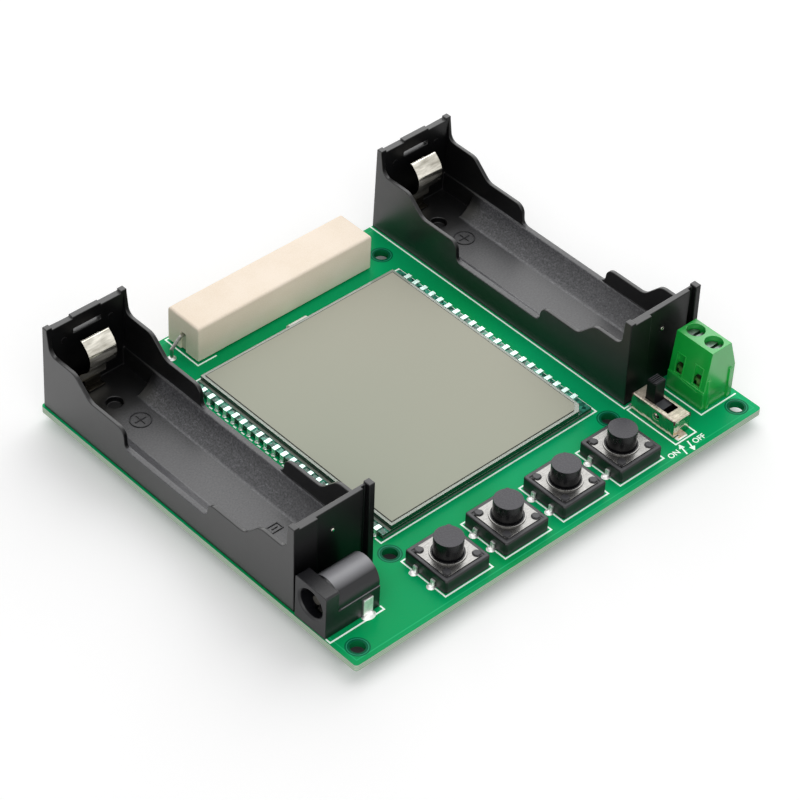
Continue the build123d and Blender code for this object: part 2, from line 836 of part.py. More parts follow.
def save_resistor():
    save("resistor_case", resistor_case())
    save("resistor_cement", resistor_cement())
    save("resistor_leads", *resistor_leads())


def button_post_places(x, y):
    half = button_post_spacing / 2
    return [(x + i * half, y + j * half) for i in (-1, 1) for j in (-1, 1)]


def button_base(x, y):
    """Black housing with a round well for the plunger and four posts that rivet the cover."""
    half = button_size / 2
    base = block(x - half, y - half, 0, button_size, button_size, button_height)
    base = chamfer(base.edges().filter_by(Axis.Z), button_corner_cut)
    base = chamfer(base.edges().group_by(Axis.Z)[-1], button_edge_cut)
    seat = button_cover_size + 2 * button_cover_fit
    seat_z = button_height - button_cover_sink
    base -= block(x - seat / 2, y - seat / 2, seat_z, seat, seat, button_cover_sink)
    base -= stud(x, y, button_floor, plunger_cavity_diameter, button_height)
    pin_height = button_cover_thickness + button_post_proud
    pins = [stud(px, py, seat_z, button_post_diameter, pin_height) for px, py in button_post_places(x, y)]
    return base + pins


def button_cover(x, y):
    """Sheet-metal cover with a hole for the plunger and one for each post."""
    size = button_cover_size
    z = button_height - button_cover_sink
    cover = block(x - size / 2, y - size / 2, z, size, size, button_cover_thickness)
    cover = chamfer(cover.edges().filter_by(Axis.Z), button_cover_corner)
    cover -= post(x, y, z, plunger_hole_diameter, button_cover_thickness)
    rivets = [stud(px, py, z, button_post_diameter + 2 * button_rivet_fit, button_cover_thickness)
              for px, py in button_post_places(x, y)]
    return cover - rivets


def button_plunger(x, y):
    """Round plunger: a foot that presses the dome, a flange under the cover, and the cap."""
    flange_z = button_height - button_cover_sink - plunger_flange_thickness - plunger_top_gap
    foot = stud(x, y, plunger_base, plunger_boss_diameter, flange_z - plunger_base)
    flange = stud(x, y, flange_z, plunger_flange_diameter, plunger_flange_thickness)
    cap = post(x, y, flange_z, plunger_diameter, plunger_top - flange_z)
    return foot + flange + cap


def button_dome(x, y):
    """Snap dome under the plunger: eight-sided spring sheet pressed into a shallow pyramid."""
    slope = math.degrees(math.atan2(dome_diameter / 2 - dome_top_diameter / 2, dome_rise))
    flats = RegularPolygon(dome_diameter / 2, 8, major_radius=False)
    cap = extrude(flats, amount=dome_rise, taper=slope)
    dome = cap - Pos(0, 0, -dome_thickness) * cap
    return Pos(x, y, button_floor) * dome


def button_tail(x, y, side):
    """Flat tail that leaves the button's side and goes down through the board."""
    inner = x - side * (button_tail_spacing_x - button_size) / 2
    outer = x + side * button_tail_thickness / 2
    arm_x = min(inner, outer)
    arm = block(arm_x, y - button_tail_width / 2, button_tail_height - button_tail_thickness,
                abs(outer - inner), button_tail_width, button_tail_thickness)
    drop = button_tail_height + board_thickness + short_tail_length
    leg = block(x - button_tail_thickness / 2, y - button_tail_width / 2, button_tail_height - drop,
                button_tail_thickness, button_tail_width, drop)
    return arm + leg


def save_buttons():
    for number, (x, y) in enumerate(button_centres(), start=1):
        save(f"button_{number}_base", button_base(x, y))
        save(f"button_{number}_cover", button_cover(x, y))
        save(f"button_{number}_plunger", button_plunger(x, y))
    save("button_domes", *[button_dome(x, y) for x, y in button_centres()])
    save("button_tails", *[button_tail(x, y, side) for x, y, side in button_tail_places()])


def switch_slot_size():
    length = switch_knob_length + switch_travel + 2 * switch_knob_clearance
    width = switch_knob_width + 2 * switch_knob_clearance
    return width, length


def switch_leg(x, y, outward):
    """Tab that is bent out from the shell's end wall and down through the board."""
    low = -board_thickness - short_tail_length
    foot_x = x - switch_leg_width / 2
    leg = block(foot_x, y - switch_sheet / 2, low, switch_leg_width, switch_sheet,
                switch_lift + switch_sheet - low)
    wall_inner = switch_y + outward * (switch_length / 2 - switch_sheet)
    tab = block(foot_x, min(wall_inner, y), switch_lift, switch_leg_width, abs(y - wall_inner), switch_sheet)
    return tab + leg


def switch_shell():
    """Folded sheet shell, open below, slotted on top, with a leg at each end."""
    z = switch_lift
    height = switch_height - z
    x = switch_cx - switch_width / 2
    y = switch_y - switch_length / 2
    shell = block(x, y, z, switch_width, switch_length, height)
    shell = fillet(shell.edges().group_by(Axis.Z)[-1], switch_fold_radius)
    shell -= block(x + switch_sheet, y + switch_sheet, z, switch_width - 2 * switch_sheet,
                   switch_length - 2 * switch_sheet, height - switch_sheet)
    slot_width, slot_length = switch_slot_size()
    shell -= block(switch_cx - slot_width / 2, switch_y - slot_length / 2, z, slot_width, slot_length, height)
    (front_x, front_y), (back_x, back_y) = switch_leg_places()
    return shell + switch_leg(front_x, front_y, -1) + switch_leg(back_x, back_y, 1)


def switch_base():
    """Insulating floor of the switch."""
    edge = switch_sheet + switch_base_fit
    x = switch_cx - switch_width / 2 + edge
    y = switch_y - switch_length / 2 + edge
    base = block(x, y, switch_lift, switch_width - 2 * edge, switch_length - 2 * edge,
                 switch_floor - switch_lift)
    slot_width = switch_tail_width + 2 * switch_base_fit
    slot_depth = switch_sheet + 2 * switch_base_fit
    cuts = [block(tail_x - slot_width / 2, tail_y - slot_depth / 2, 0, slot_width, slot_depth, switch_floor)
            for tail_x, tail_y in switch_tail_places()]
    return base - cuts


def switch_slider():
    """Sliding block with its ribbed knob, at the back end of its travel."""
    y = switch_y + switch_travel / 2
    width = switch_width - 2 * switch_sheet - 2 * switch_block_clearance
    z = switch_block_z
    slider = block(switch_cx - width / 2, y - switch_block_length / 2, z, width, switch_block_length,
                   switch_block_height)
    knob_x = switch_cx - switch_knob_width / 2
    knob_y = y - switch_knob_length / 2
    slider += block(knob_x, knob_y, z, switch_knob_width, switch_knob_length, switch_knob_top - z)
    pitch = switch_knob_length / switch_rib_count
    groove = pitch / 2
    for i in range(switch_rib_count):
        slider -= block(knob_x, knob_y + i * pitch + groove / 2, switch_knob_top - switch_rib_depth,
                        switch_knob_width, groove, switch_rib_depth)
    return slider


def save_switch():
    low = -board_thickness - short_tail_length
    tails = [block(x - switch_tail_width / 2, y - switch_sheet / 2, low, switch_tail_width, switch_sheet,
                   switch_floor - low) for x, y in switch_tail_places()]
    save("switch_shell", switch_shell())
    save("switch_base", switch_base())
    save("switch_slider", switch_slider())
    save("switch_tails", *tails)


def along_jack(x, diameter, length):
    """Cylinder on the socket's axis, from x towards the back of the jack."""
    return Pos(x, jack_y, jack_axis_height) * Rot(0, 90, 0) * Cylinder(
        diameter / 2, length, align=(Align.CENTER, Align.CENTER, Align.MIN))


def jack_spring_pocket():
    """Room in the housing's floor for the sleeve spring and its strip."""
    width = jack_spring_width + 2 * jack_spring_side_clearance
    front = jack_x + jack_spring_tip_x - 2 * jack_spring_side_clearance
    back = jack_x + jack_spring_pivot_x + jack_sheet + jack_spring_side_clearance
    top = jack_axis_height - jack_bore_diameter / 2 + jack_spring_rise + jack_spring_sheet
    return block(front, jack_y - width / 2, 0, back - front, width, top)


def jack_housing():
    """Moulded jack: square flange, round barrel and the box that it stands on."""
    x = jack_x
    low_y = jack_y - jack_width / 2
    body_x = x + jack_flange
    body_length = jack_length - jack_flange
    flange = block(x, low_y, 0, jack_flange, jack_width, jack_height)
    flange = chamfer(flange.edges().filter_by(Axis.X).group_by(Axis.Z)[-1], jack_flange_cut)
    box = block(body_x, low_y, 0, body_length, jack_width, jack_ledge_height)
    waist_width = jack_width - 2 * jack_ledge_step
    waist = block(body_x, low_y + jack_ledge_step, 0, body_length, waist_width, jack_axis_height)
    barrel = along_jack(body_x, 2 * jack_barrel_radius, body_length)
    bore = along_jack(x, jack_bore_diameter, jack_bore_depth)
    mouth = Pos(x, jack_y, jack_axis_height) * Rot(0, 90, 0) * Cone(
        jack_bore_diameter / 2 + jack_mouth_cut, jack_bore_diameter / 2, jack_mouth_cut,
        align=(Align.CENTER, Align.CENTER, Align.MIN))
    flats = RegularPolygon(jack_pin_neck / 2, 8, major_radius=False)
    axis_plane = Plane(origin=(x, jack_y, jack_axis_height), x_dir=(0, 1, 0), z_dir=(1, 0, 0))
    pin_seat = extrude(axis_plane * flats, amount=jack_length)
    lug_slot = jack_lug_setback + jack_sheet / 2 + hole_clearance
    slot_width = jack_lug_width + 2 * hole_clearance
    rear_cut = block(x + jack_length - lug_slot, jack_y - slot_width / 2, 0, lug_slot, slot_width,
                     jack_axis_height)
    return flange + box + waist + barrel - bore - mouth - pin_seat - jack_spring_pocket() - rear_cut


def jack_centre_pin():
    """Centre contact: a pin whose neck is riveted to the rear lug."""
    nose_x = jack_x + jack_pin_setback
    shoulder_x = jack_x + jack_bore_depth
    lug_x, lug_y = jack_tail_places()[0]
    pin = along_jack(nose_x, jack_pin_diameter, shoulder_x - nose_x)
    flats = RegularPolygon(jack_pin_neck / 2, 8, major_radius=False)
    neck_plane = Plane(origin=(shoulder_x, jack_y, jack_axis_height), x_dir=(0, 1, 0), z_dir=(1, 0, 0))
    neck = extrude(neck_plane * flats, amount=lug_x - shoulder_x + jack_sheet)
    low = -board_thickness - short_tail_length
    lug = block(lug_x - jack_sheet / 2, lug_y - jack_lug_width / 2, low, jack_sheet, jack_lug_width,
                jack_axis_height - low)
    return pin + neck + lug


def jack_side_lug():
    """Plated lug on the jack's side, with its tail in the board."""
    lug_x, lug_y = jack_tail_places()[1]
    low = -board_thickness - short_tail_length
    return block(lug_x - jack_lug_width / 2, lug_y - jack_sheet / 2, low, jack_lug_width, jack_sheet,
                 jack_lug_height - low)


def jack_spring_foot():
    """Fixed part of the sleeve contact: tail, strip along the floor and the upright at the bend."""
    foot_x, foot_y = jack_tail_places()[2]
    low_y = foot_y - jack_spring_width / 2
    low = -board_thickness - short_tail_length
    bend_x = jack_x + jack_spring_pivot_x
    tail = block(foot_x - jack_sheet / 2, low_y, low, jack_sheet, jack_spring_width,
                 jack_spring_strip_height - low)
    strip = block(foot_x - jack_sheet / 2, low_y, jack_spring_strip_height - jack_spring_sheet,
                  bend_x - foot_x + jack_sheet, jack_spring_width, jack_spring_sheet)
    upright_height = jack_spring_pivot_height - jack_spring_strip_height + jack_spring_sheet
    upright = block(bend_x - jack_sheet / 2, low_y, jack_spring_strip_height - jack_spring_sheet, jack_sheet,
                    jack_spring_width, upright_height)
    return tail + strip + upright


def jack_spring():
    """Sleeve spring: a bent strip in the bore's floor that a plug presses down."""
    bend_x = jack_x + jack_spring_pivot_x
    tip_x = jack_x + jack_spring_tip_x
    crest_x = jack_x + jack_spring_crest_x
    bend_z = jack_spring_pivot_height + jack_spring_joint_gap + jack_spring_sheet / 2
    crest_z = jack_axis_height - jack_bore_diameter / 2 + jack_spring_rise - jack_spring_sheet / 2
    line = FilletPolyline((bend_x, bend_z), (crest_x, crest_z), (tip_x, crest_z - jack_spring_tip_drop),
                          radius=[jack_spring_crest_x - jack_spring_tip_x])
    plane = Plane(origin=(0, jack_y - jack_spring_width / 2, 0), x_dir=(1, 0, 0), z_dir=(0, -1, 0))
    return extrude(plane * trace(line, jack_spring_sheet), amount=-jack_spring_width)


def save_jack():
    save("jack_housing", jack_housing())
    save("jack_centre_pin", jack_centre_pin())
    save("jack_side_lug", jack_side_lug())
    save("jack_spring_foot", jack_spring_foot())
    save("jack_sleeve_spring", jack_spring())


def terminal_outline():
    """End view of the terminal block as (x, z); the wires go in at the right."""
    x = terminal_x
    right = x + terminal_width
    top_left = x + terminal_lean_in
    return Polyline((x, 0), (x, terminal_step_height), (x + terminal_step, terminal_step_height),
                    (top_left, terminal_height), (top_left + terminal_top_width, terminal_height),
                    (right, terminal_wire_face_height), (right, 0), close=True)


def terminal_pole_cuts(y):
    """Everything that is open in the housing for one pole."""
    cage_x = cage_cx - cage_length / 2 - cage_clearance
    chamber_x = terminal_x + terminal_wall
    chamber_width = cage_width + 2 * cage_clearance
    chamber_low = cage_rest_height - cage_clearance
    chamber_length = cage_length + 2 * cage_clearance
    well = post(cage_cx, y, well_floor, well_diameter, terminal_height)
    guide = stud(cage_cx, y, chamber_low, screw_diameter + 2 * screw_guide_clearance, terminal_height)
    chamber = block(cage_x, y - chamber_width / 2, chamber_low, chamber_length, chamber_width,
                    chamber_top - chamber_low)
    bar_room_top = bar_height + bar_thickness + cage_clearance
    bar_room = block(chamber_x, y - chamber_width / 2, chamber_low, cage_x - chamber_x, chamber_width,
                     bar_room_top - chamber_low)
    entry_low = cage_rest_height + cage_wall + terminal_entry_sill
    entry_high = cage_rest_height + cage_height - cage_wall - terminal_entry_head
    entry = block(cage_x, y - terminal_entry_width / 2, entry_low, terminal_width, terminal_entry_width,
                  entry_high - entry_low)
    window_low = terminal_step_height + terminal_window_sill
    window_y = y - terminal_window_width / 2
    window = block(terminal_x, window_y, window_low, cage_x - terminal_x, terminal_window_width,
                   terminal_window_open_height)
    recess = block(terminal_x, window_y, window_low, terminal_window_recess, terminal_window_width,
                   terminal_window_height)
    tail_x = terminal_tail_places()[0][0]
    side = bar_thickness + 2 * hole_clearance
    tail_slot = block(tail_x - side / 2, y - side / 2, 0, side, side, chamber_low)
    return [well, guide, chamber, bar_room, entry, window, recess, tail_slot]


def terminal_housing():
    """Housing with a screw well, a clamp chamber, a wire entry and a rear window for each pole."""
    body = from_front(terminal_outline(), terminal_front, terminal_depth)
    for y in pole_centres():
        body -= terminal_pole_cuts(y)
    rib_y = terminal_front - terminal_rib_proud
    right_rib = terminal_x + terminal_width - terminal_rib_inset
    for rib_x in (terminal_x + terminal_rib_inset, right_rib):
        body += block(rib_x - terminal_rib_width / 2, rib_y, 0, terminal_rib_width, terminal_rib_proud,
                      terminal_rib_height)
    return body


def clamp_cage(y):
    """Box clamp that the screw draws up against the current bar."""
    x = cage_cx - cage_length / 2
    cage = block(x, y - cage_width / 2, cage_rest_height, cage_length, cage_width, cage_height)
    window_height = cage_height - 2 * cage_wall
    cage -= block(x, y - cage_width / 2 + cage_side_wall, cage_rest_height + cage_wall, cage_length,
                  cage_width - 2 * cage_side_wall, window_height)
    hole = screw_diameter + 2 * screw_guide_clearance
    return cage - stud(cage_cx, y, cage_rest_height + cage_height - cage_wall, hole, cage_wall)


def terminal_screw(y):
    """Slotted screw that turns in the housing's shoulder and lifts the cage."""
    shank_low = bar_height + bar_thickness + screw_end_gap
    head_low = well_floor + screw_head_gap
    shank = turning_post(cage_cx, y, shank_low, screw_diameter, head_low - shank_low)
    head = post(cage_cx, y, head_low, screw_head_diameter, screw_head_height)
    slot = block(cage_cx - screw_head_diameter / 2, y - screw_slot_width / 2,
                 head_low + screw_head_height - screw_slot_depth, screw_head_diameter, screw_slot_width,
                 screw_slot_depth)
    return shank + head - slot


def current_bar(y):
    """Fixed bar through the cage, with the tail that goes through the board."""
    tail_x = terminal_tail_places()[0][0]
    bar_end = cage_cx + cage_length / 2
    bar_x = tail_x - bar_thickness / 2
    bar = block(bar_x, y - bar_width / 2, bar_height, bar_end - bar_x, bar_width, bar_thickness)
    low = -board_thickness - short_tail_length
    tail = block(bar_x, y - bar_thickness / 2, low, bar_thickness, bar_thickness, bar_height - low)
    return bar + tail


def save_terminal():
    save("terminal_housing", terminal_housing())
    save("terminal_current_bars", *[current_bar(y) for y in pole_centres()])
    for number, y in enumerate(pole_centres(), start=1):
        save(f"terminal_screw_{number}", terminal_screw(y))
        save(f"terminal_clamp_{number}", clamp_cage(y))


def flat_pack_chip(x, y):
    """Square chip body hung under the board, from its middle."""
    low = -board_thickness - chip_lift - chip_height
    body = block(x - chip_size / 2, y - chip_size / 2, low, chip_size, chip_size, chip_height)
    return chamfer(body.edges().filter_by(Axis.Z), chip_corner_cut)


def flat_pack_leads(x, y):
    """Flat leads round a chip, lying on the board's underside."""
    low = -board_thickness - chip_lead_thickness
    span = (chip_leads_per_side - 1) * chip_lead_pitch
    leads = []
    for i in range(chip_leads_per_side):
        offset = i * chip_lead_pitch - span / 2 - chip_lead_width / 2
        for start in (-chip_size / 2 - chip_lead_reach, chip_size / 2):
            leads.append(block(x + start, y + offset, low, chip_lead_reach, chip_lead_width,
                               chip_lead_thickness))
            leads.append(block(x + offset, y + start, low, chip_lead_width, chip_lead_reach,
                               chip_lead_thickness))
    return leads


def transistor_body(x, y):
    low = -board_thickness - power_body_height
    return block(x - power_body_width / 2, y - power_body_depth / 2, low, power_body_width, power_body_depth,
                 power_body_height - power_sheet)


def transistor_metal(x, y):
    """Soldered tab and two legs of the load transistor."""
    low = -board_thickness - power_sheet
    tab = block(x - power_tab_width / 2, y, low, power_tab_width, power_body_depth / 2 + power_tab_reach,
                power_sheet)
    leg_y = y - power_body_depth / 2 - power_leg_reach
    legs = [block(x + side * power_leg_pitch / 2 - power_leg_width / 2, leg_y, low, power_leg_width,
                  power_leg_reach + power_leg_width, power_sheet) for side in (-1, 1)]
    return [tab] + legs


def regulator_body(x, y):
    low = -board_thickness - regulator_height
    return block(x - regulator_width / 2, y - regulator_depth / 2, low, regulator_width, regulator_depth,
                 regulator_height - regulator_leg_thickness)


def regulator_legs(x, y):
    low = -board_thickness - regulator_leg_thickness
    leg_y = y - regulator_depth / 2 - regulator_leg_reach
    return [block(x + i * regulator_leg_pitch - regulator_leg_width / 2, leg_y, low, regulator_leg_width,
                  2 * regulator_leg_reach, regulator_leg_thickness) for i in (-1, 0, 1)]


def chip_parts(x, y):
    """Row of small resistors and capacitors."""
    low = -board_thickness - chip_part_height
    start = x - (chip_part_count - 1) * chip_part_pitch / 2
    return [block(start + i * chip_part_pitch, y, low, chip_part_width, chip_part_length, chip_part_height)
            for i in range(chip_part_count)]


def save_underside():
    middle = display_front + display_depth / 2
    controller = (display_cx - underside_spread_x, middle - chip_size)
    driver = (display_cx + underside_spread_x, middle - chip_size)
    power = (display_cx - underside_spread_x, middle + underside_spread_y)
    regulator = (display_cx + underside_spread_x, middle - underside_spread_y)
    save("controller_chip", flat_pack_chip(*controller))
    save("display_driver_chip", flat_pack_chip(*driver))
    save("load_transistor", transistor_body(*power))
    save("voltage_regulator", regulator_body(*regulator))
    chip_leads = flat_pack_leads(*controller) + flat_pack_leads(*driver)
    save("underside_leads", *chip_leads, *transistor_metal(*power), *regulator_legs(*regulator))
    small_parts = chip_parts(display_cx, middle) + chip_parts(display_cx, middle - underside_row_gap)
    save("chip_resistors", *small_parts)


save("circuit_board", circuit_board())
save_holders()
save_display()
save_resistor()
save_buttons()
save_switch()
save_jack()
save_terminal()
save_underside()
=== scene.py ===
# %% [markdown]
# # A battery capacity tester on a white table
# One green circuit board carries two cell holders, a segment display, a ceramic resistor, four push
# buttons, a slide switch, a power jack and a screw terminal. The engineering model gives every piece
# its size and place. This lesson dresses it: it loads the model, sets up the camera and a soft studio
# light, makes one material for each real finish, and then models what the engineering model leaves
# out, such as rounded edges, solder, printed lines and ribs.

# %% Load the engineering model
import json
import math
import bpy
from mathutils import Matrix, Vector

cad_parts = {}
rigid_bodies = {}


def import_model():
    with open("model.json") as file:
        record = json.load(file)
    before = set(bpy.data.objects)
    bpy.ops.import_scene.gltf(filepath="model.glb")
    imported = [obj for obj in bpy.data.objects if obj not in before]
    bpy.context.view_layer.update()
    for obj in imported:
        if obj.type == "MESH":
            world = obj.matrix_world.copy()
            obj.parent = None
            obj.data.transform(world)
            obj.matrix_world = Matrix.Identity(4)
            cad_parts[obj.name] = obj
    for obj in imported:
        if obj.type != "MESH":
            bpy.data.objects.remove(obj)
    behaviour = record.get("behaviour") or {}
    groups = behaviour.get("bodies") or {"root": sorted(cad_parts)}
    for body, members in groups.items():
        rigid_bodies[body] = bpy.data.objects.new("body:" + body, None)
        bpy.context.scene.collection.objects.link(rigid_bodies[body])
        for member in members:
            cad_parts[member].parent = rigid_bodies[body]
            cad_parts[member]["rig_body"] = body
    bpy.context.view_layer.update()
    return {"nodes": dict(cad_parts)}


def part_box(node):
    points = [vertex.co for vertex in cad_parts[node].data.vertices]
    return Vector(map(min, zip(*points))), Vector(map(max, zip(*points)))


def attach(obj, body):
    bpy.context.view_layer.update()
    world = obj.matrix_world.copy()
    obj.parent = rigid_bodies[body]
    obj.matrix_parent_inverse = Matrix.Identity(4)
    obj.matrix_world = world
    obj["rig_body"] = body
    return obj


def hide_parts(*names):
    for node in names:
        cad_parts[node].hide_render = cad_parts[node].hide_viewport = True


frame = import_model()

# %% [markdown]
# Board builders count in millimetres from the board's front left corner, and upwards from its top
# face. Blender counts in metres. One small helper turns the first into the second, so that every place
# below can be checked with a ruler.

# %% Places on the board
mm = 0.001
board_low, board_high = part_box("circuit_board")
board_width = (board_high.x - board_low.x) / mm
board_depth = (board_high.y - board_low.y) / mm
board_top = board_high.z


def at(x, y, z=0.0):
    """Point in metres for board coordinates in millimetres."""
    return Vector((board_low.x + x * mm, board_low.y + y * mm, board_top + z * mm))


print("board", round(board_width, 1), "by", round(board_depth, 1), "mm")

# %% [markdown]
# The photograph was taken with a long lens from the front left, about two thirds of a metre away. A
# long lens keeps the board's edges almost parallel. The camera leans by two degrees, so it is placed
# with its own right, up and backward directions instead of being aimed at a point.

# %% Camera
camera_place = Vector((-0.34071, -0.34326, 0.43687))
camera_right = Vector((0.73509, -0.67677, 0.04028))
camera_up = Vector((0.42894, 0.51026, 0.74542))
camera_lens = 141.3

bpy.ops.object.camera_add()
camera = bpy.context.object
camera_back = camera_right.cross(camera_up)
camera_axes = Matrix((camera_right, camera_up, camera_back)).transposed().to_4x4()
camera.matrix_world = Matrix.Translation(camera_place) @ camera_axes
camera.data.lens = camera_lens
camera.data.sensor_width = 36
camera.data.clip_start = 0.01
bpy.context.scene.camera = camera
print("camera distance", round(camera_place.length, 3), "m")


# %% [markdown]
# Every finish is a small graph of shader nodes. One helper adds a node, sets its options and fills or
# links its inputs. Colours are written as the hex values that a screen shows, and one function turns
# them into the linear numbers that the renderer needs.

# %% Helpers for materials
def linear(hex_colour):
    """Linear colour with alpha from a screen colour such as FFEFDC."""
    channels = [int(hex_colour[i:i + 2], 16) / 255 for i in (0, 2, 4)]
    return [c / 12.92 if c <= 0.04045 else ((c + 0.055) / 1.055) ** 2.4 for c in channels] + [1.0]


def add(tree, kind, inputs=None, **settings):
    """Add one shader node. An input may be a number, a colour, or another node's output."""
    node = tree.nodes.new("ShaderNode" + kind)
    for name, value in settings.items():
        setattr(node, name, value)
    for name, value in (inputs or {}).items():
        if isinstance(value, bpy.types.NodeSocket):
            tree.links.new(value, node.inputs[name])
        else:
            node.inputs[name].default_value = value
    return node


def start_material(name, values=None):
    """New material with one Principled shader. Returns the material, its tree and the shader."""
    material = bpy.data.materials.new(name)
    material.use_nodes = True
    tree = material.node_tree
    shader = tree.nodes["Principled BSDF"]
    for key, value in (values or {}).items():
        shader.inputs[key].default_value = value
    return material, tree, shader


def feed(shader, name, value):
    """Link another node's output to one input of the shader."""
    shader.id_data.links.new(value, shader.inputs[name])


# %% [markdown]
# Patterns and sums are nodes as well. The one used most is `follow`. It lets a number, such as the
# roughness, run from one value to another while a pattern or a place runs between two limits.

# %% Helpers for patterns and sums
def object_place(tree):
    """Place of a point on the object, in metres."""
    return add(tree, "TexCoord").outputs["Object"]


def split(tree, vector):
    """The X, Y and Z of a vector."""
    return add(tree, "SeparateXYZ", {"Vector": vector}).outputs


def facing(tree, normal="True Normal"):
    """How far the surface faces along X, Y and Z, each from -1 to 1."""
    return split(tree, add(tree, "NewGeometry").outputs[normal])


def calculate(tree, operation, first, second=0.5):
    """Result of one Math node."""
    return add(tree, "Math", {0: first, 1: second}, operation=operation).outputs[0]


def follow(tree, value, low=0.0, high=1.0, start=0.0, end=1.0):
    """Number that goes from start to end while a value goes from low to high."""
    limits = {"Value": value, "From Min": low, "From Max": high, "To Min": start, "To Max": end}
    return add(tree, "MapRange", limits).outputs[0]


def mix(tree, share, first, second, kind="RGBA"):
    """Blend of two colours, or of two numbers when the kind is FLOAT."""
    return add(tree, "Mix", {"Factor": share, "A": first, "B": second}, data_type=kind).outputs["Result"]


def scaled(tree, colour, share):
    """Colour made darker or lighter by a number."""
    return add(tree, "VectorMath", {0: colour, "Scale": share}, operation="SCALE").outputs[0]


def ramp(tree, value, dark, light, low=0.0, high=1.0):
    """Colour between two screen colours, reached while a value goes from low to high."""
    node = add(tree, "ValToRGB", {"Fac": value})
    for element, position, colour in zip(node.color_ramp.elements, (low, high), (dark, light)):
        element.position = position
        element.color = linear(colour)
    return node.outputs["Color"]


def per_mm(size):
    """Pattern scale for a feature of a size in millimetres."""
    return 1 / (size * mm)


def noise(tree, place, size, detail=2.0, roughness=0.5):
    """Noise with features of a size in millimetres."""
    values = {"Vector": place, "Scale": per_mm(size), "Detail": detail, "Roughness": roughness}
    return add(tree, "TexNoise", values).outputs["Fac"]


def bump(tree, shader, height, distance, strength=1.0):
    """Bump the shader's surface with a height, over a distance in millimetres."""
    relief = add(tree, "Bump", {"Height": height, "Distance": distance * mm, "Strength": strength})
    feed(shader, "Normal", relief.outputs["Normal"])


def least(tree, numbers):
    """Smallest of several numbers."""
    smallest = numbers[0]
    for number in numbers[1:]:
        smallest = calculate(tree, "MINIMUM", smallest, number)
    return smallest


def distance_inside(tree, place, low, high):
    """Distance in metres from a point to the nearest side of a box, seen from above."""
    sides = split(tree, place)
    gaps = []
    for axis, near, far in (("X", low.x, high.x), ("Y", low.y, high.y)):
        gaps.append(calculate(tree, "SUBTRACT", sides[axis], near))
        gaps.append(calculate(tree, "SUBTRACT", far, sides[axis]))
    return least(tree, gaps)


# %% [markdown]
# ## Studio
# The object stands on a white table in a white room. The table shows itself as white to the camera and
# to reflections, and gives less light back to the object, so that the colours stay as written. One large
# soft lamp stands behind and to the right. It throws the shadow to the left, and the camera sees it
# mirrored in every level glossy face. A weak lamp beside the camera fills the faces that look this way.

# %% Table, room and lamp
table_glow = 0.13
table_seen = 0.95
table_bounce = 0.42
table_grain_scale = 900.0
room_level = 0.42
shade_reach = (3 * mm, 14 * mm)
shade_edge = (1.5 * mm, 4 * mm)
light_under_board = 0.1
lamps = {
    "window_lamp": (Vector((0.55, 0.45, 0.75)), 1.3, 8.8),
    "fill_lamp": (Vector((-0.6, -0.6, 0.5)), 1.0, 3.6),
}


def seen_ray(tree):
    """One for camera, glossy and transmission rays, and zero for light that bounces."""
    path = add(tree, "LightPath").outputs
    seen = calculate(tree, "MAXIMUM", path["Is Camera Ray"], path["Is Glossy Ray"])
    return calculate(tree, "MAXIMUM", seen, path["Is Transmission Ray"])


bpy.ops.mesh.primitive_plane_add(size=6)
table = bpy.context.object
table.name = "table"
paper_white = {"Roughness": 0.9, "Specular IOR Level": 0, "Emission Color": (1, 1, 1, 1)}
table_material, tree, shader = start_material("white_table", paper_white)
place = object_place(tree)
grain = add(tree, "TexNoise", {"Scale": table_grain_scale, "Vector": place}).outputs["Fac"]
seen = seen_ray(tree)
share = follow(tree, seen, start=table_bounce, end=table_seen)
tone = calculate(tree, "MULTIPLY", share, follow(tree, grain, start=0.98))
glow = calculate(tree, "MULTIPLY", seen, table_glow)
# Painted shadow: the table's colour and glow are darkened under the board, where no light of the room gets,
# apart from a little near its back and right edges.
from_right = calculate(tree, "SUBTRACT", board_high.x, split(tree, place)["X"])
from_back = calculate(tree, "SUBTRACT", board_high.y, split(tree, place)["Y"])
shut = follow(tree, calculate(tree, "MINIMUM", from_right, from_back), *shade_reach)
inside = follow(tree, distance_inside(tree, place, board_low, board_high), *shade_edge)
dark = calculate(tree, "MULTIPLY", shut, inside)
painted_shadow_factor = follow(tree, dark, start=1.0, end=light_under_board)
feed(shader, "Base Color", calculate(tree, "MULTIPLY", tone, painted_shadow_factor))
feed(shader, "Emission Strength", calculate(tree, "MULTIPLY", glow, painted_shadow_factor))
# From below the table is clear, so that the underside of the board can be looked at.
clear = add(tree, "BsdfTransparent")
behind = add(tree, "NewGeometry").outputs["Backfacing"]
both = add(tree, "MixShader", {"Fac": behind, 1: shader.outputs["BSDF"], 2: clear.outputs["BSDF"]})
feed(tree.nodes["Material Output"], "Surface", both.outputs["Shader"])
table.data.materials.append(table_material)

room = bpy.data.worlds.new("white_room")
bpy.context.scene.world = room
room.use_nodes = True
background = room.node_tree.nodes["Background"]
background.inputs["Color"].default_value = (1, 1, 1, 1)
feed(background, "Strength", follow(room.node_tree, seen_ray(room.node_tree), start=room_level))

for lamp_name, (place, size, power) in lamps.items():
    bpy.ops.object.light_add(type="AREA", location=place)
    lamp = bpy.context.object
    lamp.name = lamp_name
    lamp.data.energy = power
    lamp.data.size = size
    lamp.rotation_euler = (-place).to_track_quat("-Z", "Y").to_euler()
    print(lamp_name, power, "W over", size, "m")
bpy.context.scene.view_settings.view_transform = "Standard"

# %% [markdown]
# ## Finishes
# Each material starts from what the real one is. Noise and other patterns read Object coordinates,
# which are metres on the object, so a grain of 0.3 mm has a scale of about 1 / 0.0003.

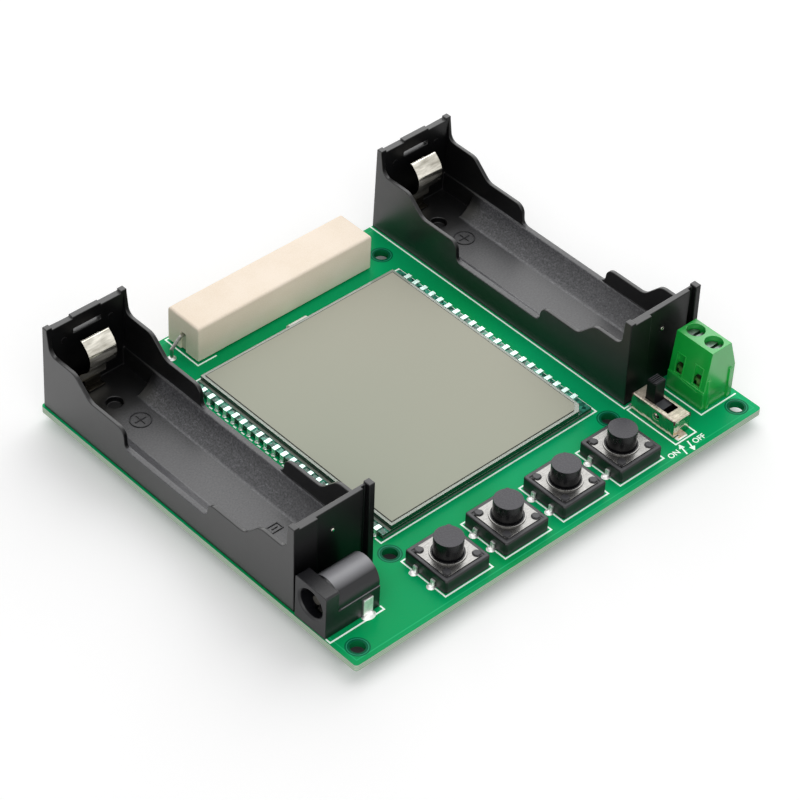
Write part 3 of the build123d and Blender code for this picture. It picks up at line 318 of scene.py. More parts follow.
# %% Solder mask on the circuit board
# Epoxy solder mask over copper: a glossy green film, a shade lighter where copper lies under it. The
# sawn edge shows the pale glass cloth of the board.
mount_holes = [(3.7, 3.7), (109.9, 3.7), (25.45, 18.3), (86.75, 18.3), (25.45, 88.0), (86.75, 88.0)]
hole_reach = 1.75
hole_rings = ((2.55, "06734C"), (2.22, "2FA67C"), (2.08, "066444"))


def distance_to_holes(tree, place):
    """Distance in metres from a point to the nearest mounting hole's centre, seen from above."""
    flat = add(tree, "Mapping", {"Vector": place, "Scale": (1, 1, 0)}).outputs[0]
    gaps = []
    for x, y in mount_holes:
        centre = at(x, y)
        centre.z = 0
        gaps.append(add(tree, "VectorMath", {0: flat, 1: centre}, operation="DISTANCE").outputs["Value"])
    return least(tree, gaps)


def solder_mask():
    material, tree, shader = start_material("solder_mask_green", {"Specular IOR Level": 0.05})
    place = object_place(tree)
    film = ramp(tree, noise(tree, place, 45), "06A058", "0AB876", 0.35, 0.7)
    # The copper stops 1.2 mm from the edge and leaves a thin raised line there.
    rim = follow(tree, distance_inside(tree, place, board_low, board_high), 1.0 * mm, 1.35 * mm)
    off_line = calculate(tree, "ABSOLUTE", calculate(tree, "SUBTRACT", rim, 0.5))
    copper = mix(tree, follow(tree, off_line, 0.5, 0.1), film, linear("24BE7C"))
    # Copper is kept away from the screw heads: a dark ring of 5 mm, with a thin lighter line in it.
    hole_distance = distance_to_holes(tree, place)
    for reach, colour in hole_rings:
        inside = calculate(tree, "LESS_THAN", hole_distance, reach * mm)
        copper = mix(tree, inside, copper, linear(colour))
    # The board holds about eight cloths of glass. They are drawn coarser, as some four pale bands.
    cloth = {"Vector": place, "Scale": per_mm(1.4), "Distortion": 1.5}
    bands = add(tree, "TexWave", cloth, bands_direction="Z").outputs["Fac"]
    sawn = ramp(tree, bands, "9CCFB4", "E4E2CE")
    # The holes were drilled before the mask was laid on, so it runs down their walls.
    in_hole = calculate(tree, "LESS_THAN", hole_distance, hole_reach * mm)
    wall = mix(tree, in_hole, sawn, linear("067A46"))
    steep = calculate(tree, "ABSOLUTE", facing(tree)["Z"])
    side = calculate(tree, "LESS_THAN", steep, 0.6)
    feed(shader, "Base Color", mix(tree, side, copper, wall))
    feed(shader, "Roughness", follow(tree, side, start=0.24, end=0.75))
    # The weave of the cloth prints through the mask at about 0.6 mm.
    weave = add(tree, "TexVoronoi", {"Vector": place, "Scale": per_mm(0.6)})
    bump(tree, shader, weave.outputs["Distance"], 0.004, 0.5)
    return material


# %% Printed ink
# Screen-printed epoxy ink: matt white, thinner and so greener at its edges. It glows a little by itself,
# a painted light, so that the lines stay white in the shadow of the parts.
def printed_ink():
    values = {"Roughness": 0.6, "Emission Color": (0.78, 1, 0.88, 1), "Emission Strength": 0.2}
    material, tree, shader = start_material("white_printed_ink", values)
    cover = noise(tree, object_place(tree), 0.3, 3.0)
    feed(shader, "Base Color", ramp(tree, cover, "DDF6E8", "F4FFF8", 0.25, 0.45))
    bump(tree, shader, cover, 0.002)
    return material


# %% Black moulded plastic
# Glass-filled black thermoplastic. A polished mould leaves a satin skin, and a spark-eroded one leaves
# a fine matt grain. The same function makes each black part with its own tone and polish, and with a
# lighter tone on its level faces, which is a painted highlight.
def moulded_black(name, tone, polish, grain_size=0.25, grain_height=0.006, painted_top_light=None, shine=0.5,
                  painted_top_from=None):
    """Black plastic with a painted highlight on its level faces. Given a start in X, only the part beyond it
    has the highlight.
    """
    material, tree, shader = start_material(name, {"Specular IOR Level": shine})
    place = object_place(tree)
    level = follow(tree, facing(tree, "Normal")["Z"], 0.7, 1.0)
    if painted_top_from is not None:
        beyond = calculate(tree, "GREATER_THAN", split(tree, place)["X"], painted_top_from)
        level = calculate(tree, "MULTIPLY", level, beyond)
    # Level faces take the lighter tone: a painted highlight.
    colour = mix(tree, level, linear(tone), linear(painted_top_light or tone))
    depth = follow(tree, noise(tree, place, 14), start=0.75, end=1.25)
    feed(shader, "Base Color", scaled(tree, colour, depth))
    grain = noise(tree, place, grain_size, 4.0)
    feed(shader, "Roughness", follow(tree, grain, start=polish - 0.06, end=polish + 0.08))
    bump(tree, shader, grain, grain_height)
    return material


# %% Textured floor of the holders
# The trough of a holder comes from a spark-eroded part of the mould: upward faces below the cell are
# greyer, and speckled at about 0.4 mm.
def holder_plastic():
    satin = {"Coat Roughness": 0.36, "Coat IOR": 1.5, "Specular IOR Level": 0.15}
    material, tree, shader = start_material("holder_black_abs", satin)
    place = object_place(tree)
    sides = split(tree, place)
    faces = facing(tree)
    # Faces towards the front come from the mould's plain end block, which was left unpolished.
    feed(shader, "Coat Weight", follow(tree, faces["Y"], -0.9, -0.5, 0.05, 0.95))
    low = calculate(tree, "LESS_THAN", sides["Z"], at(0, 0, 6.9).z)
    up = follow(tree, faces["Z"], 0.1, 0.3)
    # The grey ends before the pocket under the back contact, which stays black.
    bed_end = follow(tree, sides["Y"], at(0, 80.5).y, at(0, 83.5).y, 1.0, 0.0)
    trough = calculate(tree, "MULTIPLY", calculate(tree, "MULTIPLY", low, up), bed_end)
    speckle = noise(tree, place, 0.4, 6.0, 0.7)
    matt = ramp(tree, speckle, "1C1C1E", "555558", 0.35, 0.75)
    # The curved flanks are painted lighter than the flat floor: a painted highlight for the light they catch.
    flank = follow(tree, faces["Z"], 0.9, 0.99, 1.35, 0.85)
    # Cells that slid in have scuffed the flanks with pale streaks along the trough.
    slid = add(tree, "Mapping", {"Vector": place, "Scale": (1, 0.4, 1)}).outputs[0]
    scuff = follow(tree, noise(tree, slid, 0.4, 5.0, 0.7), 0.5, 0.68)
    leaning = follow(tree, faces["Z"], 0.9, 0.97, 1.0, 0.0)
    lift = calculate(tree, "ADD", calculate(tree, "MULTIPLY", scuff, leaning), 1.0)
    bed = scaled(tree, matt, calculate(tree, "MULTIPLY", flank, lift))
    feed(shader, "Base Color", mix(tree, trough, linear("070708"), bed))
    skin = follow(tree, noise(tree, place, 9, 3.0), start=0.3, end=0.42)
    feed(shader, "Roughness", mix(tree, trough, skin, 0.55, "FLOAT"))
    bump(tree, shader, speckle, 0.02)
    return material


# %% Metals
# Nickel plate over spring steel or brass: bright, slightly warm, with fine rolling lines. Hot solder
# and hand-tinned copper are whiter and lumpier.
along_height = (1, 1, 12)
no_direction = (1, 1, 1)


def rolled_metal(name, dark, light, polish, line_axis=along_height, lumps=0.002, top_polish=None, dents=0.0):
    """Metal with rolling lines. Lumps and dents are heights in millimetres."""
    material, tree, shader = start_material(name, {"Metallic": 1.0})
    place = object_place(tree)
    stretched = add(tree, "Mapping", {"Vector": place, "Scale": line_axis}).outputs[0]
    lines = noise(tree, stretched, 0.8, 5.0)
    feed(shader, "Base Color", ramp(tree, lines, dark, light, 0.3, 0.7))
    gloss = follow(tree, lines, start=polish - 0.03, end=polish + 0.05)
    level = calculate(tree, "GREATER_THAN", facing(tree, "Normal")["Z"], 0.8)
    feed(shader, "Roughness", mix(tree, level, gloss, top_polish or polish, "FLOAT"))
    # Pressing leaves shallow dents a few millimetres wide, which bend what the metal mirrors.
    dent = calculate(tree, "MULTIPLY", noise(tree, place, 2.4, 1.0), dents)
    lump = calculate(tree, "MULTIPLY", lines, lumps)
    bump(tree, shader, calculate(tree, "ADD", dent, lump), 1.0)
    return material


# %% Ceramic and cement
# Fired steatite: cream, matt, with a fine sandy skin. The cement is greyer and coarser.
def fired_ceramic(name, dark, light, grain_size, grain_height):
    material, tree, shader = start_material(name, {"Roughness": 0.82})
    place = object_place(tree)
    sand = noise(tree, place, grain_size, 5.0)
    stain = noise(tree, place, 11, 3.0)
    mean = calculate(tree, "MULTIPLY", calculate(tree, "ADD", sand, stain), 0.5)
    feed(shader, "Base Color", ramp(tree, mean, dark, light, 0.3, 0.6))
    bump(tree, shader, sand, grain_height)
    return material


# %% Display glass and polariser
# Float glass with a ground edge lies under a grey-green polarising film with an anti-glare skin. Its
# cut edge is dark. The film's tint drifts from cool at the back left to warm at the front right.
# The ledges begin at these X, and at the cut corner where X less Y passes the last number.
left_ledge, right_ledge, ledge_corner = 28.6, 83.25, 59.55


def pane_glass():
    material, tree, shader = start_material("display_float_glass", {"Transmission Weight": 0.25, "IOR": 1.5})
    place = object_place(tree)
    sides = split(tree, place)
    wave = noise(tree, place, 6, 1.0)
    tint = ramp(tree, wave, "A9B3A6", "BCC5B8")
    # The two ledges aren't backed. What shows through them, the green board with the pins' reflections, is a
    # painted reflection: a teal pattern of facets.
    left = calculate(tree, "LESS_THAN", sides["X"], at(left_ledge, 0).x)
    right = calculate(tree, "GREATER_THAN", sides["X"], at(right_ledge, 0).x)
    lean = calculate(tree, "SUBTRACT", sides["X"], sides["Y"])
    corner = calculate(tree, "GREATER_THAN", lean, at(ledge_corner, 0).x - at(0, 0).y)
    ledge = calculate(tree, "MAXIMUM", calculate(tree, "MAXIMUM", left, right), corner)
    painted_ledge_reflections = add(tree, "TexVoronoi", {"Vector": place, "Scale": per_mm(0.75)}).outputs["Color"]
    body = mix(tree, ledge, tint, ramp(tree, painted_ledge_reflections, "0A5644", "4FC7A4", 0.3, 0.8))
    # A ground edge lets the eye in sideways, where the pane is deep and green.
    level = calculate(tree, "GREATER_THAN", facing(tree)["Z"], 0.5)
    feed(shader, "Base Color", mix(tree, level, linear("1D4A33"), body))
    feed(shader, "Roughness", follow(tree, wave, start=0.04, end=0.1))
    return material


def polarising_film():
    material, tree, shader = start_material("polarising_film", {"Roughness": 0.42, "Specular IOR Level": 0.2})
    place = object_place(tree)
    along = add(tree, "Mapping", {"Vector": place, "Rotation": (0, 0, math.radians(-35))}).outputs[0]
    drift = follow(tree, split(tree, along)["X"], -0.03, 0.03)
    mixed = mix(tree, 0.3, drift, noise(tree, place, 30, 1.0), "FLOAT")
    tone = ramp(tree, mixed, "A3A897", "ADAB9B")
    low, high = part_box("display_polariser")
    cut_edge = follow(tree, distance_inside(tree, place, low, high), 0.08 * mm, 0.16 * mm)
    feed(shader, "Base Color", mix(tree, cut_edge, linear("2A2620"), tone))
    # The anti-glare skin is a fine pebble of about 0.1 mm.
    bump(tree, shader, noise(tree, place, 0.1), 0.001)
    return material


# %% Green terminal plastic
# Nylon, moulded and slightly translucent: bright where light enters its top edges.
def terminal_nylon():
    values = {"Roughness": 0.36, "Specular IOR Level": 0.5, "Coat Weight": 0.8, "Coat Roughness": 0.2,
              "Subsurface Weight": 0.12, "Subsurface Radius": (0.3 * mm, 1.0 * mm, 0.3 * mm)}
    material, tree, shader = start_material("terminal_green_nylon", values)
    place = object_place(tree)
    tone = ramp(tree, noise(tree, place, 5, 3.0), "07A63A", "14BC48")
    # The foot below the parting line is darker.
    depth = follow(tree, split(tree, place)["Z"], at(0, 0, 4.0).z, at(0, 0, 4.8).z, 0.78, 1.0)
    feed(shader, "Base Color", scaled(tree, tone, depth))
    bump(tree, shader, noise(tree, place, 0.2, 3.0), 0.004)
    return material


# %% Make the materials
barrel_start = at(4.2, 0).x
finish = {
    "pcb_green": solder_mask(),
    "ink": printed_ink(),
    "holder_black": holder_plastic(),
    "contact_nickel": rolled_metal("nickel_spring_strip", "A8A498", "F8F4E8", 0.12, (0.2, 0.2, 1.0), 0.003),
    "foot_nickel": rolled_metal("nickel_foot_strip", "34322E", "504D46", 0.3),
    "tinned_wire": rolled_metal("tinned_copper", "E2E2E0", "FAFAF8", 0.5, no_direction, 0.004),
    "lead_wire": rolled_metal("tinned_steel_wire", "8E8E88", "C4C4BE", 0.35, no_direction, 0.004),
    "solder": rolled_metal("hot_solder", "E2E2DE", "FFFFFF", 0.5, no_direction, 0.03),
    "pin_tin": rolled_metal("tinned_pin_strip", "BFE2D6", "EFFFFA", 0.5, no_direction, 0.004),
    "ceramic_cream": fired_ceramic("steatite_cream", "F3E2CB", "FFF1E0", 0.25, 0.02),
    "cement_grey": fired_ceramic("resistor_cement", "B9B09C", "D5CDBB", 0.5, 0.05),
    "display_glass": pane_glass(),
    "display_film": polarising_film(),
    "display_crystal": fired_ceramic("crystal_layer", "6F7568", "7B8172", 2.0, 0.001),
    "display_seal": moulded_black("seal_ink", "2B2A26", 0.5),
    "display_reflector": rolled_metal("reflector_foil", "8A8F86", "A5AA9E", 0.35, no_direction),
    # The last colour given to the buttons, plungers and post heads is a lighter tone for their level faces: a
    # painted highlight.
    "button_black": moulded_black("button_black_nylon", "0C0C0E", 0.36, 0.3, 0.01, "26262A"),
    "plunger_black": moulded_black("plunger_black_acetal", "0A0A0C", 0.26, 0.35, 0.006, "403F44", 0.3),
    "post_black": moulded_black("post_black_nylon", "0A0A0C", 0.36, 0.3, 0.006, "2C2C30"),
    "button_cover": rolled_metal("nickel_cover_sheet", "7D7C7A", "989794", 0.27, (1, 6, 1), 0.001),
    "switch_nickel": rolled_metal("nickel_shell_sheet", "B0A697", "DED4C5", 0.12, (1, 3, 0.6), 0.005,
                                  top_polish=0.5, dents=0.16),
    "switch_base": moulded_black("switch_base_phenolic", "3A2A20", 0.6),
    # The slider's and the jack's last colours are lighter tones for their level faces, a painted highlight;
    # the jack's starts at the barrel.
    "slider_black": moulded_black("slider_black_acetal", "040405", 0.4, 0.3, 0.01, "4A4A4E", 0.2),
    "jack_black": moulded_black("jack_black_abs", "0E0E12", 0.34, 0.35, 0.012, "9C9CA0",
                                painted_top_from=barrel_start),
    "terminal_green": terminal_nylon(),
    "screw_steel": rolled_metal("zinc_plated_steel", "55605B", "8F9B95", 0.3, no_direction, 0.006),
    "bar_brass": rolled_metal("tinned_brass", "C9B98A", "E5DAB5", 0.3),
    "chip_black": moulded_black("chip_epoxy", "1A1A1C", 0.6, 0.15, 0.01),
    # The fill plug is whitish resin, drawn near white so that it also gives the glint on it: partly a painted
    # highlight.
    "fill_resin": fired_ceramic("cured_fill_resin", "C9CBC2", "F6F7F0", 0.8, 0.03),
    "chip_part": fired_ceramic("chip_part_ceramic", "5B5148", "8A7C6B", 0.3, 0.01),
}
print("materials", len(finish))

# %% [markdown]
# The engineering model has sharp edges, and a real moulding has none. A thin rounding on each edge
# catches the light as a fine bright line. So each node that keeps its shape is copied, its loose
# triangles are merged, its flat faces are joined up, and a Bevel modifier rounds its edges. The copy
# then stands for the node.

# %% Soften a node
def only(piece):
    """Select one object alone and make it active."""
    bpy.ops.object.select_all(action="DESELECT")
    piece.select_set(True)
    bpy.context.view_layer.objects.active = piece


def shade(piece, angle=32):
    """Smooth a piece, and let its large flat faces rule the normals of the small ones beside them."""
    only(piece)
    bpy.ops.object.shade_smooth_by_angle(angle=math.radians(angle))
    for modifier in list(piece.modifiers):
        bpy.ops.object.modifier_apply(modifier=modifier.name)
    even = piece.modifiers.new("even_normals", "WEIGHTED_NORMAL")
    even.keep_sharp = True
    even.weight = 100
    bpy.ops.object.modifier_apply(modifier=even.name)


def place_on(piece, body, slot_name, material=None, stands_for=()):
    """Give a finished piece its material, body and the nodes that it stands for. The slot name picks the
    material when no other is given.
    """
    piece.data.materials.clear()
    piece.data.materials.append(finish[material or slot_name])
    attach(piece, body)
    if stands_for:
        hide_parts(*stands_for)
    return piece


def round_edges(piece, width, segments=2, angle=30):
    """Round a piece's sharp edges, with a width in millimetres."""
    only(piece)
    bevel = piece.modifiers.new("rounding", "BEVEL")
    bevel.width = width * mm
    bevel.segments = segments
    bevel.limit_method = "ANGLE"
    bevel.angle_limit = math.radians(angle)
    bevel.use_clamp_overlap = False
    bpy.ops.object.modifier_apply(modifier=bevel.name)


def soften(node_name, slot_name, width, segments=2, material=None, angle=30):
    """Copy of a node with rounded edges, which stands for the node."""
    node = frame["nodes"][node_name]
    piece = bpy.data.objects.new(node_name + "_finished", node.data.copy())
    bpy.context.collection.objects.link(piece)
    only(piece)
    bpy.ops.object.mode_set(mode="EDIT")
    bpy.ops.mesh.select_all(action="SELECT")
    bpy.ops.mesh.remove_doubles(threshold=0.001 * mm)
    bpy.ops.mesh.dissolve_limited(angle_limit=math.radians(1))
    bpy.ops.object.mode_set(mode="OBJECT")
    round_edges(piece, width, segments, angle)
    shade(piece)
    return place_on(piece, node["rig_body"], slot_name, material, (node_name,))


# Nodes that keep their mesh, by finish. A softened copy stands for each of the others.
plain_nodes = {
    "pcb_green": ["circuit_board"],
    "tinned_wire": ["switch_tails", "button_tails", "underside_leads"],
    "contact_nickel": ["button_domes", "jack_spring_foot", "jack_sleeve_spring"],
    "display_glass": ["display_front_glass", "display_rear_glass"],
    "display_film": ["display_polariser"],
    "display_crystal": ["display_liquid_crystal"],
    "display_seal": ["display_seal"],
    "display_reflector": ["display_reflector"],
    "fill_resin": ["display_fill_plug"],
    "pin_tin": ["display_pins"],
    "lead_wire": ["resistor_leads"],
    "cement_grey": ["resistor_cement"],
    "switch_base": ["switch_base"],
    "bar_brass": ["terminal_current_bars"],
    "screw_steel": ["terminal_screw_1", "terminal_screw_2", "terminal_clamp_1", "terminal_clamp_2"],
    "chip_black": ["load_transistor", "voltage_regulator", "display_driver_chip", "controller_chip"],
    "chip_part": ["chip_resistors"],
}
plain_finish = {node_name: name for name, node_names in plain_nodes.items() for node_name in node_names}
for name, node in frame["nodes"].items():
    node.data.materials.clear()
    node.data.materials.append(finish[plain_finish.get(name, "jack_black")])

for side in ("left", "right"):
    soften(side + "_holder_body", "holder_black", 0.2, 3)
    for end in ("front", "back"):
        soften(f"{side}_{end}_contact_leaf", "contact_nickel", 0.06)
        soften(f"{side}_{end}_contact_foot", "contact_nickel", 0.06, material="foot_nickel")
soften("resistor_case", "ceramic_cream", 0.25, 3)
soften("switch_shell", "switch_nickel", 0.05)
soften("switch_slider", "slider_black", 0.06)
soften("jack_housing", "jack_black", 0.15, 3)
soften("jack_centre_pin", "contact_nickel", 0.05, material="foot_nickel")
soften("jack_side_lug", "tinned_wire", 0.06)
soften("terminal_housing", "terminal_green", 0.1)
for number in range(1, 5):
    soften(f"button_{number}_base", "button_black", 0.12)
    soften(f"button_{number}_cover", "button_cover", 0.04)
    soften(f"button_{number}_plunger", "button_black", 0.12, material="plunger_black")

# %% [markdown]
# ## Small things
# The engineering model stops at about half a millimetre. Solder, printed lines, collars and marks are
# smaller, and they are what makes a board look made instead of drawn. What repeats is modelled once,
# stamped to its places, and joined into one piece. A few helpers do the stamping.

# %% Helpers for small pieces
def joined(pieces, name):
    """Join pieces into one, with its place in the mesh and outward normals."""
    bpy.ops.object.select_all(action="DESELECT")
    for piece in pieces:
        piece.select_set(True)
    bpy.context.view_layer.objects.active = pieces[0]
    if len(pieces) > 1:
        bpy.ops.object.join()
    whole = bpy.context.object
    whole.name = name
    bpy.ops.object.transform_apply(location=True, rotation=True, scale=True)
    bpy.ops.object.mode_set(mode="EDIT")
    bpy.ops.mesh.select_all(action="SELECT")
    bpy.ops.mesh.normals_make_consistent(inside=False)
    bpy.ops.object.mode_set(mode="OBJECT")
    return whole


def stamped(pattern, places, name, turn=(0, 0, 0)):
    """Copies of a pattern, each with its own mesh, turned and moved to board places, then joined."""
    copies = []
    for place in places:
        copy = bpy.data.objects.new(name, pattern.data.copy())
        bpy.context.collection.objects.link(copy)
        copy.location = at(*place)
        copy.rotation_euler = turn
        copies.append(copy)
    return joined(copies, name)


def discard(pattern):
    bpy.data.objects.remove(pattern, do_unlink=True)


def brick(centre, size, turn=0.0):
    """Block about a centre, turned about the vertical. Sizes are in millimetres."""
    bpy.ops.mesh.primitive_cube_add(size=1, location=at(*centre), rotation=(0, 0, turn),
                                    scale=Vector(size) * mm)
    return bpy.context.object


def ring(centre, outer, inner, height, vertices=32):
    """Flat ring that stands on a centre. Diameters and height are in millimetres."""
    x, y, z = centre
    bpy.ops.mesh.primitive_cylinder_add(vertices=vertices, radius=outer / 2 * mm, depth=height * mm,
                                        end_fill_type="NOTHING", location=at(x, y, z + height / 2))
    piece = bpy.context.object
    wall = piece.modifiers.new("wall", "SOLIDIFY")
    wall.thickness = (outer - inner) / 2 * mm
    wall.offset = -1
    bpy.ops.object.modifier_apply(modifier=wall.name)
    return piece


def stud(centre, diameter, height, vertices=20):
    """Round stud that stands on a centre, in millimetres."""
    x, y, z = centre
    bpy.ops.mesh.primitive_cylinder_add(vertices=vertices, radius=diameter / 2 * mm, depth=height * mm,
                                        location=at(x, y, z + height / 2))
    return bpy.context.object


def finished(pieces, name, body, slot_name, rounding, material=None, segments=1):
    """Join pieces, round their edges, smooth them, and give them a material and a body."""
    whole = joined(pieces, name)
    if rounding:
        round_edges(whole, rounding, segments)
    shade(whole)
    print(name, len(whole.data.polygons), "faces")
    return place_on(whole, body, slot_name, material)


# %% [markdown]
# ## Printed lines
# The white outlines are epoxy ink, pressed through a screen. They show the assembler where each part sits
# and which way round. The real lines are about 0.2 mm wide, and are drawn wider here so that they show.
# Each line is a thin block a little longer than its run, so that corners close. The words beside the
# switch are text turned into a mesh.

# %% Draw the printed lines
ink_width = 0.36
ink_height = 0.03
ink_step = 0.006
barb_length = 0.9
word_height = 1.35
first_button_x, button_y, button_pitch = 32.0, 8.9, 16.15
button_places = [(first_button_x + button_pitch * number, button_y) for number in range(4)]
leg_near, leg_far = 1.6, 3.4
button_half = 6.35
back_pin_y, pin_pitch = 77.5, 2.54
dash_x, dash_half, dash_count = 26.1, 0.3, 23


def ink_path(*points, first=0):
    """Ink lines from point to point. Each is a hair higher than the last, as two level tops would clash."""
    lines = []
    for number, ((x0, y0), (x1, y1)) in enumerate(zip(points, points[1:]), start=first):
        length = math.hypot(x1 - x0, y1 - y0) + ink_width
        height = ink_height + ink_step * (number % 3)
        centre = ((x0 + x1) / 2, (y0 + y1) / 2, height / 2)
        lines.append(brick(centre, (length, ink_width, height), math.atan2(y1 - y0, x1 - x0)))
    return lines


def button_outline(x, y):
    """Square around a button, open at its four legs."""
    left, right = x - button_half, x + button_half
    lines = []
    for way in (-1, 1):
        edge, opening = y + way * button_half, y + way * leg_far
        lines += ink_path((left, opening), (left, edge), (right, edge), (right, opening))
    for side in (left, right):
        lines += ink_path((side, y - leg_near), (side, y + leg_near))
    return lines


def arrow(tail, head):
    """Arrow with two barbs."""
    direction = math.atan2(head[1] - tail[1], head[0] - tail[0])
    lines = ink_path(tail, head)
    for number, lean in enumerate((150, -150), start=1):
        angle = direction + math.radians(lean)
        barb = (head[0] + barb_length * math.cos(angle), head[1] + barb_length * math.sin(angle))
        lines += ink_path(head, barb, first=number)
    return lines


def printed_word(word, x, y):
    """Printed capitals about a place. The font's capitals stand at about 0.7 of its size."""
    bpy.ops.object.text_add(location=at(x, y, ink_height / 2))
    text = bpy.context.object
    text.data.body = word
    text.data.size = word_height * 1.4 * mm
    text.data.align_x = "CENTER"
    text.data.align_y = "CENTER"
    text.data.extrude = ink_height / 2 * mm
    text.data.offset = 0.03 * mm
    bpy.ops.object.convert(target="MESH")
    return [bpy.context.object]


ink = []
for x, y in button_places:
    ink += button_outline(x, y)
# The display, open at its left pins, with a dash on either side of each of them.
ink += ink_path((26.1, 80.9), (26.1, 82.0), (86.4, 82.0), (86.4, 21.6), (26.1, 21.6), (26.1, 22.7))
for number in range(dash_count):
    dash_y = back_pin_y + pin_pitch / 2 - pin_pitch * number
    ink += ink_path((dash_x, dash_y - dash_half), (dash_x, dash_y + dash_half))
# The resistor, which covers the rest of its outline.
ink += ink_path((37.5, 85.5), (32.6, 85.5), (32.6, 96.2), (82.0, 96.2), (82.0, 94.4))
# The power jack, in two runs.
ink += ink_path((0.4, 8.9), (0.4, 7.8), (14.3, 7.8), (14.3, 8.8))
ink += ink_path((14.9, 17.3), (14.9, 18.1), (13.4, 18.1))
# The switch, the right holder and the terminal.
ink += ink_path((91.7, 3.8), (97.7, 3.8), (97.7, 17.7), (91.7, 17.7), (91.7, 3.8))
ink += ink_path((91.5, 96.6), (91.5, 18.4), (101.6, 18.4))
ink += ink_path((112.7, 6.7), (102.4, 6.7), (102.4, 17.9))
# One arrow for each word beside the switch.
ink += arrow((91.5, 0.5), (92.1, 3.1))
ink += arrow((94.3, 2.9), (93.6, 0.4))
finished(ink, "printed_lines", "board", "ceramic_cream", 0.01, "ink")
words = printed_word("ON", 89.3, 2.0) + printed_word("OFF", 96.7, 2.0)
finished(words, "printed_switch_words", "board", "ceramic_cream", 0, "ink")

# %% [markdown]
# ## Solder
# Molten solder wets the tinned ring round each hole and climbs the lead, so a joint is a cone with hollow
# flanks. Every hole is plated through, and the joint shows on both faces. A cone is made from a
# primitive: it is cut twice, and pulled in after each cut.

# %% Make one solder cone and stamp it
def solder_cone(radius, height, stem, waist):
    """Solder joint at the world's origin: its waist is narrower than a straight cone's."""
    bpy.ops.mesh.primitive_cone_add(vertices=18, radius1=radius * mm, radius2=stem * mm, depth=height * mm,
                                    location=(0, 0, height / 2 * mm))
    cone = bpy.context.object
    bpy.ops.object.transform_apply(location=True, rotation=True, scale=True)
    for share in (0.2, 0.55):
        bpy.ops.object.mode_set(mode="EDIT")
        bpy.ops.mesh.select_all(action="SELECT")
        bpy.ops.mesh.bisect(plane_co=(0, 0, height * share * mm), plane_no=(0, 0, 1))
        bpy.ops.transform.resize(value=(waist, waist, 1))
        bpy.ops.object.mode_set(mode="OBJECT")
    return cone


leg_y = 2.5


def pin_row(x, count):
    """Places of one row of the display's pins, from the back to the front."""
    return [(x, back_pin_y - pin_pitch * number) for number in range(count)]


def beside_buttons(reach):
    """Places of the four legs of every button, at a reach from its middle."""
    return [(x + dx, y + dy) for x, y in button_places for dx in (-reach, reach) for dy in (-leg_y, leg_y)]


button_legs = beside_buttons(6.25)
wire_ends = [(29.9, 90.85), (84.7, 90.85)]
wide_tabs = [(13.3, 13.45), (10.9, 8.8), (7.3, 13.45), (94.8, 4.9), (94.8, 18.0)]
holder_tails = [(10.75, 93.25), (10.75, 21.75), (102.35, 93.8), (102.35, 22.3)]
small_tails = [(94.8, 8.45), (94.8, 11.45), (94.8, 14.45)]
terminal_tails = [(104.55, 10.04), (104.55, 15.12)]
under = -1.6
over_board = (math.pi, 0, 0)


def on_face(places, z):
    return [(x, y, z) for x, y in places]


low_cone = solder_cone(0.66, 0.3, 0.36, 0.86)
small_cone = solder_cone(0.88, 0.55, 0.36, 0.86)
large_cone = solder_cone(1.35, 0.8, 0.55, 0.84)
small_above = pin_row(26.75, 22) + pin_row(85.45, 21) + wire_ends
small_below = small_above + button_legs + small_tails
stamped_solder = [
    stamped(low_cone, on_face(small_above, 0.0), "solder_above"),
    stamped(small_cone, on_face(small_below, under), "solder_below", over_board),
    stamped(large_cone, on_face(wide_tabs + holder_tails + terminal_tails, under), "solder_tabs", over_board),
]
finished(stamped_solder, "solder_joints", "board", "tinned_wire", 0, "solder")
for pattern in (low_cone, small_cone, large_cone):
    discard(pattern)

# %% [markdown]
# The legs of the buttons and the tabs of the jack were soldered by hand from above too. There the solder
# lies as a bright lump against the leg. A lump is the upper half of a ball, flattened, with its skirt
# drawn out. The same form, laid on its side, is the dimple that is pressed into the switch's shell. The
# feet of the switch lie flat, each in a low bed of solder.

# %% Solder lumps on the upper face, the switch's dimple and its feet
def solder_lump(width, depth, height):
    """Flattened half ball with a skirt, at the world's origin."""
    bpy.ops.mesh.primitive_uv_sphere_add(segments=18, ring_count=10, radius=0.5 * mm)
    lump = bpy.context.object
    bpy.ops.object.mode_set(mode="EDIT")
    bpy.ops.mesh.select_all(action="SELECT")
    bpy.ops.mesh.bisect(plane_co=(0, 0, 0), plane_no=(0, 0, 1), clear_inner=True, use_fill=True)
    bpy.ops.transform.resize(value=(1.18, 1.18, 1))
    bpy.ops.object.mode_set(mode="OBJECT")
    lump.scale = (width, depth, 2 * height)
    bpy.ops.object.transform_apply(location=True, rotation=True, scale=True)
    return lump


foot_x, foot_places = 94.2, (4.72, 18.12)
outer_legs = beside_buttons(6.6)
leg_lump = solder_lump(1.75, 1.6, 0.45)
climb_lump = solder_lump(0.75, 1.05, 1.25)
tab_lump = solder_lump(2.9, 2.0, 0.9)
dimple = solder_lump(1.7, 1.7, 0.3)
lumps = [
    stamped(leg_lump, on_face(outer_legs + wire_ends, 0.0), "leg_lumps"),
    stamped(climb_lump, on_face(button_legs, 0.0), "climbing_solder"),
    stamped(tab_lump, [(10.9, 8.5, 0.0)], "side_lug_lump"),
    stamped(leg_lump, [(14.4, 13.45, 0.0), (14.4, 12.6, 0.0)], "rear_lug_lump"),
]
finished(lumps, "solder_lumps", "board", "tinned_wire", 0, "solder")
switch_dimple = stamped(dimple, [(92.4, 10.5, 2.6)], "switch_dimple", (0, -math.pi / 2, 0))
finished([switch_dimple], "switch_side_dimple", "board", "switch_nickel", 0)
for pattern in (leg_lump, climb_lump, tab_lump, dimple):
    discard(pattern)
beds = []
feet = []
